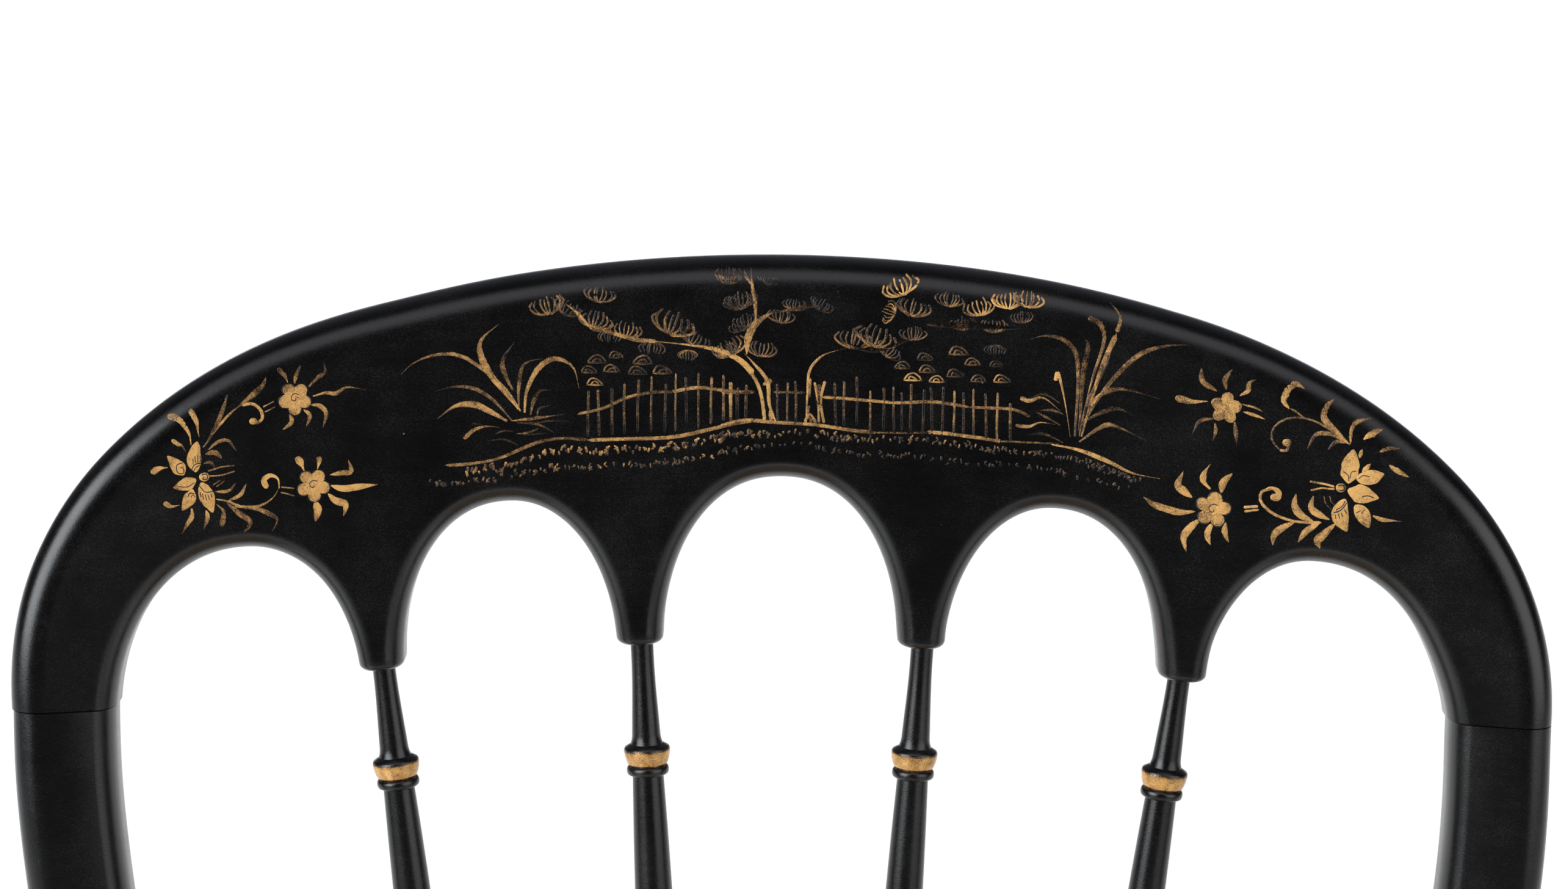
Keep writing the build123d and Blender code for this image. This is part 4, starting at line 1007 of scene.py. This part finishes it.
def buildGilt():
    drops = edgeDrops()
    groups = {"giltSprayLeft": leftSpray, "giltSprayRight": rightSpray}
    groups |= {"giltLandscapeLeft": landscape(leftScene), "giltLandscapeRight": landscape(rightScene)}
    for name, group in groups.items():
        layStrokes(name, onSheet(group, "strokes"), gilt, drops)
        if "lines" in group:
            layStrokes(name + "Lines", onSheet(group, "lines"), lacquer, drops, sheet["height"] * sheet["lineLift"])


print("gilt strokes")
buildGilt()

# Stiles: the upper post follows the rake and bow, the leg below the seat kicks back
stile = {"waistHalf": 147.0, "bendStart": 10.0, "seatWidth": 27.0, "seatDepth": 28.0, "seatEdge": 4.0}
stile |= {"footHalf": 163.0, "footWidth": 22.0, "footDepth": 23.0, "footEdge": 6.0, "setBack": 50.0}
stile |= {"step": 0.2, "seatMiddle": 439.5, "corner": 7, "rows": 56, "brokenEdge": 0.5, "lap": 3.0}
stile |= {"innerFlat": 2.0, "innerStart": 130.0, "innerRun": 120.0, "kick": 0.8}


def seatV():
    drop = stile["seatMiddle"] - back["jointHeight"] + depthOf(stile["waistHalf"]) * rakeSin
    return drop / rakeCos


def roundedSection(halfWidth, halfDepth, outerRadius, innerRadius, innerDepth, steps):
    # Section corners in order, outer ones at +x; every argument but steps is an array of stations
    columns = []
    for number, (signX, signY) in enumerate(((1, 1), (-1, 1), (-1, -1), (1, -1))):
        turn = (number + np.linspace(0, 1, steps)) * math.pi / 2
        wide = (outerRadius if signX > 0 else innerRadius)[:, None]
        deep = wide if signX > 0 else wide * innerDepth[:, None]
        x = signX * (halfWidth[:, None] - wide) + wide * np.cos(turn)
        y = signY * (halfDepth[:, None] - deep) + deep * np.sin(turn)
        columns.append(np.stack([x, y], axis=-1))
    return np.concatenate(columns, axis=1)


def postStations(side):
    # Centre, tilt, width, depth, skew and corner radii down the post, then down the leg
    top = stray["jointRise"][side]
    v = np.append([top, top - stile["brokenEdge"]], np.linspace(-stile["lap"], seatV(), stile["rows"]))
    share = v / seatV()
    x = mix(jointHalf, stile["waistHalf"], ease((-v - stile["bendStart"]) / (-seatV() - stile["bendStart"])))
    tilt = back["rake"] * (1 - ease(2 * share - 1))
    lean = stray["stileLean"] * ease(-v / stray["leanStart"]) + (stray["rightStile"] if side > 0 else 0)
    lean = lean * (1 - ease((-v - stray["leanTurn"]) / (stray["leanEnd"] - stray["leanTurn"])))
    width = mix(back["jointWidth"] - 2 * stile["step"], stile["seatWidth"], share)
    depth = mix(back["thick"] - 2 * stile["step"], stile["seatDepth"], ease(share))
    skew = x / np.sqrt(back["bow"] ** 2 - x**2) * (1 - share)
    outer, inner = (mix(back[edge], stile["seatEdge"], share) for edge in ("edge", "archEdge"))
    upper = [onBack(x, v, depthOf(x)), tilt, width, depth, skew, outer, inner, lean]
    share = np.linspace(0, 1, stile["rows"])[1:]
    # The leg leaves the post along its rake and comes down to the foot, which is set back
    y = upper[0][-1, 1] - stile["seatMiddle"] * rakeSin * stile["kick"] * share * (1 - share) ** 2
    y += stile["setBack"] * ((3 - 2 * share) * share**2 - 2 * (1 - share) * share**2)
    centre = np.stack([mix(stile["waistHalf"], stile["footHalf"], share**2), y, stile["seatMiddle"] * (1 - share)], 1)
    sizes = ("Width", "Depth", "Edge")
    width, depth, edge = (mix(stile["seat" + size], stile["foot" + size], share) for size in sizes)
    zero = np.zeros_like(share)
    lower = [centre, zero, width, depth, zero, edge, edge, zero]
    return [np.concatenate(pair) for pair in zip(upper, lower)]


def buildStile(side, name, node):
    centre, tilt, width, depth, skew, outer, inner, lean = postStations(side)
    broken = np.zeros(len(width))
    broken[[0, -1]] = stile["brokenEdge"]
    # The inner side is rounded nearly to the middle at the joint and ends flat where the rails meet it
    below = ease((centre[0, 2] - centre[:, 2] - stile["innerStart"]) / stile["innerRun"])
    innerDepth = mix((depth / 2 - stile["innerFlat"]) / inner, 1, below)
    section = roundedSection(width / 2 - broken, depth / 2 - broken, outer, inner, innerDepth, stile["corner"])
    across, rearward = section[..., 0], section[..., 1] - skew[:, None] * section[..., 0]
    turned = [across, rearward * np.cos(tilt)[:, None], -rearward * np.sin(tilt)[:, None]]
    points = centre[:, None, :] + np.stack(turned, axis=-1)
    points[..., 0] = points[..., 0] * side + lean[:, None]
    rows, columns = points.shape[:2]
    parts = [(points.reshape(-1, 3), gridFaces(rows, columns, closedColumns=True))]
    parts += [(points[row], [list(range(columns))]) for row in (0, -1)]
    makePiece(name, parts, lacquer, [node], 40)


print("stiles")
buildStile(-1, "stileLeft", "stile_left")
buildStile(1, "stileRight", "stile_right")


# Turned pieces
spindle = {"socket": 14.0, "footSocket": 12.0, "tipNeck": 3.1, "neck": 4.0, "neckLength": 24.0, "segments": 48}
spindle |= {"ring": 6.4, "ringHeight": 5.5, "bead": 5.8, "beadHeight": 2.6, "beadFlank": 0.7, "gap": 0.6}
spindle |= {"lip": 0.35, "lipFall": 12.0, "cone": 0.9, "taper": 0.9, "taperPower": 2.2, "groove": 4.65}
spindle |= {"cove": 0.45, "coveStart": 0.90, "neckEase": 0.7, "shaft": 4.25, "belly": 5.6, "foot": 4.2}
spindle |= {"footStep": 0.5, "lowRing": 24.0, "drops": {"inner": 32.0, "outer": 28.5}, "giltHalf": 2.45}
spindle |= {"giltShift": 1.0, "seam": 0.01, "ringSteps": 12, "beadSteps": 9, "shaftSteps": 30, "footSteps": 8}


def latheGrid(profile, start, end, segments):
    # profile: radius and distance from start along the axis
    along = unit(end - start)
    side = unit(np.cross(along, (0, 1, 0)))
    other = np.cross(along, side)
    turn = np.linspace(0, 2 * math.pi, segments, endpoint=False)[None, :, None]
    radius, reach = profile[:, 0, None, None], profile[:, 1, None, None]
    points = start + along * reach + radius * (np.cos(turn) * side + np.sin(turn) * other)
    return points.reshape(-1, 3), gridFaces(len(profile), segments, closedColumns=True)


def ringAndBead(middle, direction):
    # Ring, groove and bead from the ring's middle towards the shaft
    half = direction * spindle["ringHeight"] / 2
    near = middle + half + direction * spindle["gap"]
    far = near + direction * spindle["beadHeight"]
    # The ring is widest at its upper edge, under a low black cone
    share = np.linspace(0, 1, spindle["ringSteps"])
    belly = spindle["ring"] - spindle["lip"] * np.exp(-spindle["lipFall"] * share)
    belly -= spindle["taper"] * share ** spindle["taperPower"]
    shoulder = middle - half + direction * spindle["cone"]
    ring = np.stack([belly, mix(shoulder, middle + half, share)], axis=-1)
    groove = [[spindle["groove"], middle + half], [spindle["groove"], near]]
    # The bead's outline is half an ellipse
    share = np.linspace(-1, 1, spindle["beadSteps"])
    bulge = np.sqrt(np.clip(1 - share**2, 0, 1))
    radius = mix(spindle["bead"] - spindle["beadFlank"], spindle["bead"], bulge)
    bead = np.stack([radius, mix(near, far, (share + 1) / 2)], axis=-1)
    return np.concatenate([ring, groove, bead, [[spindle["shaft"], far]]])


def spindleProfile(length, drop):
    ringTop = drop - spindle["ringHeight"] / 2
    share = np.linspace(0, 1, spindle["shaftSteps"])
    neckStart = ringTop - spindle["neckLength"]
    cove = spindle["cove"] * np.clip((share - spindle["coveStart"]) / (1 - spindle["coveStart"]), 0, 1) ** 2
    swell = mix(share**3, ease(share), spindle["neckEase"])
    swell = mix(spindle["tipNeck"], spindle["neck"], swell) + cove
    neck = np.stack([swell, mix(neckStart, ringTop - spindle["seam"], share)], axis=-1)
    upper = ringAndBead(drop, 1)
    lower = ringAndBead(length - spindle["lowRing"], -1)[::-1]
    share = share[1:-1]
    swell = mix(spindle["shaft"], spindle["belly"], 4 * share * (1 - share))
    shaft = np.stack([swell, mix(upper[-1, 1], lower[0, 1], share)], axis=-1)
    end = length + spindle["footSocket"]
    footTop = np.array([spindle["neck"] + spindle["footStep"], lower[-1, 1] + spindle["seam"]])
    foot = mix(footTop, np.array([spindle["foot"], end]), np.linspace(0, 1, spindle["footSteps"])[:, None])
    tip = [[0.0, -spindle["socket"]], [spindle["tipNeck"], -spindle["socket"]]]
    return np.concatenate([tip, neck, upper, shaft, lower, foot, [[0.0, end]]])


def buildSpindle(number, name, side):
    (topX, topV), (footX, footV) = spindleAxes[name]
    start = onBack(side * topX + stray["necks"][number - 1], topV, depthOf(topX))
    end = onBack(side * footX, footV, depthOf(footX))
    length = float(np.linalg.norm(end - start))
    drop = spindle["drops"][name]
    profile = spindleProfile(length, drop)
    # Gilt on the ring's belly and the groove: distance inside its borders along the axis
    upper = np.abs(profile[:, 1] - drop - spindle["giltShift"])
    lower = np.abs(length - spindle["lowRing"] - spindle["giltShift"] - profile[:, 1])
    gilding = {"gilt": np.repeat(spindle["giltHalf"] - np.minimum(upper, lower), spindle["segments"])}
    parts = [latheGrid(profile, start, end, spindle["segments"])]
    makePiece(f"spindle{number}", parts, gildedLacquer, [f"spindle_{number}"], 38, gilding)


print("spindles")
for number, (name, side) in enumerate(pendants, start=1):
    buildSpindle(number, name, side)

# Woven cane: strand pairs both ways in plain weave, and two sets of diagonals over and under them
cane = {"lap": 9.0, "binder": 6.0, "binderHeight": 2.0, "corner": 20.0, "slope": 0.1478, "tuck": 10.3}
cane |= {"pitch": 12.5, "pairGap": 1.7, "strand": 2.2, "diagonal": 2.5, "thick": 0.45, "middle": 0.8}
cane |= {"pairWave": 0.28, "diagonalWave": 0.54, "shortest": 8.0, "stitch": 2.2, "stitchRise": 0.35}
cane |= {"pairStations": 160, "diagonalStations": 120, "lines": 30, "flank": 0.7, "stitchFlank": 0.42, "tiny": 1e-6}
caneLow, caneHigh = (np.array(corner) * 1000 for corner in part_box("cane_binder"))
cane |= {"front": caneLow[1] + cane["lap"] + cane["binder"], "back": caneHigh[1] - cane["lap"] - cane["binder"]}
# The binder's crowned section: share of its width, share of its height
binderSection = np.array([[0, 0], [0.06, 0.62], [0.24, 0.92], [0.5, 1], [0.76, 0.92], [0.94, 0.62], [1, 0]])


def caneCentres():
    # Centre, radius and turn of each rounded corner of the opening, its sides sloping out to the front
    skew = math.hypot(1, cane["slope"])
    edge = caneHigh[0] - cane["lap"] - cane["binder"]
    # The widest point is on the front corner's arc, where the outline runs straight back
    centreY = cane["front"] + cane["corner"]
    centreX = edge - cane["corner"]
    backX = centreX + cane["slope"] * (centreY - cane["back"]) + cane["corner"] * skew
    lean = math.atan(cane["slope"])
    right = [(centreX, centreY, cane["corner"], -math.pi / 2, lean), (backX, cane["back"], 0.0, lean, math.pi / 2)]
    left = [(-x, y, radius, math.pi - end, math.pi - start) for x, y, radius, start, end in right[::-1]]
    return right + left


def caneLoop(offset, steps=12):
    # The opening's outline, pushed outward by offset
    loop = []
    for x, y, radius, start, end in caneCentres():
        turn = np.linspace(start, end, steps)
        loop.append(np.array([x, y]) + (radius + offset) * np.stack([np.cos(turn), np.sin(turn)], axis=-1))
    return np.concatenate(loop)


def layStrands(name, origins, direction, width, stations, heightAt, nodes=()):
    # Flat strands along one direction, cut off where they pass under the binder
    border = caneLoop(cane["tuck"])
    outward = -leftOf(np.roll(border, -1, axis=0) - border)
    pace = outward @ direction
    gap = ((border[None] - origins[:, None]) * outward).sum(axis=2)
    tiny = cane["tiny"]
    reach = gap / np.where(np.abs(pace) > tiny, pace, tiny)
    start = np.where(pace < -tiny, reach, -np.inf).max(axis=1)
    end = np.where(pace > tiny, reach, np.inf).min(axis=1)
    level = (np.abs(pace) < tiny) & (np.abs(outward).sum(axis=1) > tiny)
    kept = (end - start > cane["shortest"]) & ~(level & (gap < 0)).any(axis=1)
    origins, start, end = origins[kept], start[kept], end[kept]
    along = start[:, None] + (end - start)[:, None] * np.linspace(0, 1, stations)
    place = origins[:, None, :] + along[..., None] * direction
    height = caneLow[2] + cane["middle"] + heightAt(place, kept)
    strip = np.array([[-1.0, -0.5], [-cane["flank"], 0.5], [cane["flank"], 0.5], [1.0, -0.5]])
    flat = place[:, :, None, :] + strip[:, 0][:, None] * leftOf(direction) * width / 2
    tall = height[:, :, None] + strip[:, 1] * cane["thick"]
    points = np.concatenate([flat, tall[..., None]], axis=-1).reshape(-1, 3)
    return makePiece(name, [(points, ribbonFaces(stations, len(origins)))], caneStrand, nodes, 40, weld=0)


def nearCrossing(value):
    # Signed distance to the nearest crossing of pairs
    return (value + cane["pitch"] / 2) % cane["pitch"] - cane["pitch"] / 2


def pairWave(value):
    # One full wave over a crossing, level between crossings
    away, gap = nearCrossing(value), cane["pairGap"]
    return np.where(np.abs(away) < 2 * gap, np.sin(math.pi * away / (2 * gap)), 0) * cane["pairWave"]


def weaveCane():
    pitch, gap = cane["pitch"], cane["pairGap"]
    middleY = (cane["front"] + cane["back"]) / 2
    lines = np.arange(-cane["lines"], cane["lines"] + 1)
    signs = np.tile([-1.0, 1.0], len(lines))
    spots = np.repeat(lines * pitch, 2) + signs * gap

    def knot(place):
        return 1 - ease((np.abs(nearCrossing(place[..., 0])) - gap) / (2 * gap))

    def layPairs(name, axis, sign, nodes):
        # Strands along one axis that rise and fall with the other's pairs
        origins, direction = np.stack([np.zeros_like(spots), np.full(len(spots), middleY)], axis=-1), np.zeros(2)
        origins[:, 1 - axis] += spots
        direction[axis] = 1.0
        shift = (0, middleY)[axis]

        def heightAt(place, kept):
            return sign * signs[kept][:, None] * pairWave(place[..., axis] - shift)

        layStrands(name, origins, direction, cane["strand"], cane["pairStations"], heightAt, nodes)

    layPairs("caneUpright", 1, 1, ["cane_panel"])
    layPairs("caneCross", 0, -1, ())
    origins = np.stack([lines * pitch, np.full(len(lines), middleY)], axis=-1)
    for name, side in (("caneRising", 1), ("caneFalling", -1)):
        direction = np.array([1.0, side]) / math.sqrt(2)
        layStrands(name, origins, direction, cane["diagonal"], cane["diagonalStations"],
                   lambda place, kept: side * cane["diagonalWave"] * knot(place))


def bindCane():
    # The wide binder cane round the border, and the stitches that hold it at every second peg
    shares, heights = binderSection.T
    loops = np.stack([caneLoop(cane["lap"] + share * cane["binder"]) for share in shares], axis=1)
    tall = np.broadcast_to(caneLow[2] + heights * cane["binderHeight"], loops.shape[:2])
    points = np.concatenate([loops, tall[..., None]], axis=-1)
    faces = gridFaces(*points.shape[:2], closedRows=True, closedColumns=True)
    makePiece("caneBinder", [(points.reshape(-1, 3), faces)], caneStrand, ["cane_binder"], 50)

    line = caneLoop(cane["lap"] + cane["binder"] / 2)
    line = np.concatenate([line, line[:1]])
    reach = lengthAlong(line)[-1]
    count = round(reach / (2 * cane["pitch"]))
    wanted = (np.arange(count) + 0.5) / count * reach
    middle = placesAt(line, wanted)
    ahead = unit(placesAt(line, wanted + 0.5) - middle)
    over = (shares - 0.5) * (cane["binder"] + 2 * cane["stitchRise"])
    side = np.array([-0.5, -cane["stitchFlank"], cane["stitchFlank"], 0.5]) * cane["stitch"]
    flat = middle[:, None, None] - over[:, None, None] * leftOf(ahead)[:, None, None]
    flat = flat + side[:, None] * ahead[:, None, None]
    top = heights * cane["binderHeight"] + cane["stitchRise"]
    tall = caneLow[2] + top[:, None] - np.array([1, 0, 0, 1]) * cane["stitchRise"]
    points = np.concatenate([flat, np.broadcast_to(tall, flat.shape[:3])[..., None]], axis=-1).reshape(-1, 3)
    makePiece("caneStitches", [(points, ribbonFaces(len(shares), count))], caneStrand, (), 40, weld=0)


print("cane")
weaveCane()
bindCane()

# Finishes of the CAD nodes that stay
print("carried nodes")
keptFinishes = {"seat_dowels": bareWood, "crest_dowel_left": bareWood, "crest_dowel_right": bareWood}
keptFinishes["cane_pegs"] = caneStrand
for nodeName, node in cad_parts.items():
    node.data.materials.clear()
    node.data.materials.append(keptFinishes.get(nodeName, lacquer))


# Setting
def buildFloor():
    half = setting["floorHalf"]
    mesh = bpy.data.meshes.new("floor")
    mesh.from_pydata([(-half, -half, 0), (half, -half, 0), (half, half, 0), (-half, half, 0)], [], [(0, 1, 2, 3)])
    mesh.materials.append(pale)
    floor = bpy.data.objects.new("floor", mesh)
    bpy.context.scene.collection.objects.link(floor)


def addLight(name, place, target, size, power, tint, mirrored):
    light = bpy.data.lights.new(name, "AREA")
    light.shape = "RECTANGLE"
    light.size, light.size_y = size
    light.energy, light.color = power, tint
    lamp = bpy.data.objects.new(name, light)
    lamp.location = place
    lamp.rotation_euler = (Vector(target) - Vector(place)).to_track_quat("-Z", "Y").to_euler()
    lamp.visible_glossy = mirrored  # the backdrop's light doesn't show in the lacquer
    bpy.context.scene.collection.objects.link(lamp)


def buildWorld():
    # Dim in front of the chair and bright behind it, by the y of the direction, as in a studio with a lit backdrop
    world = bpy.data.worlds.new("studio")
    world.use_nodes = True
    tree = world.node_tree
    direction = addNode(tree, "TexCoord", {})["Generated"]
    rearward = addNode(tree, "SeparateXYZ", {0: direction})[1]
    share = rampNode(tree, rearward, setting["dimBefore"], setting["brightAfter"])
    feed(tree, tree.nodes["Background"].inputs["Color"], mixColours(tree, share, setting["dim"], setting["bright"]))
    bpy.context.scene.world = world


def buildCamera():
    forward, side, up, eye = cameraPose
    rolledSide, rolledUp = rolled(side, up)
    camera = bpy.data.objects.new("camera", bpy.data.cameras.new("camera"))
    camera.data.lens, camera.data.sensor_width = setting["lens"], setting["sensor"]
    camera.data.clip_end = setting["clipEnd"]
    axes = np.stack([rolledSide, rolledUp, -forward], axis=-1)
    camera.matrix_world = Matrix.Translation(Vector(eye * 0.001)) @ Matrix(axes.tolist()).to_4x4()
    bpy.context.scene.collection.objects.link(camera)
    bpy.context.scene.camera = camera


# Place, target, size, power, tint, and whether it shows in the lacquer
lights = {"softLeft": ((-1.5, -0.9, 1.55), setting["target"], (1.4, 1.7), 52, (0.93, 0.97, 1.0), True)}
lights["ceiling"] = ((0, -0.35, 2.3), setting["target"], (2.6, 1.0), 9, (0.94, 0.94, 1.0), True)
lights["softRight"] = ((1.55, -0.95, 1.40), setting["target"], (1.8, 1.8), 20, (1, 1, 1), True)
lights["backdropLight"] = ((0, 3.9, 3.4), (0, 3.9, 0), (9.0, 6.2), 330, (1, 1, 1), False)

print("setting")
buildFloor()
buildWorld()
buildCamera()
for name, values in lights.items():
    addLight(name, *values)
bpy.context.scene.view_settings.view_transform = "Standard"
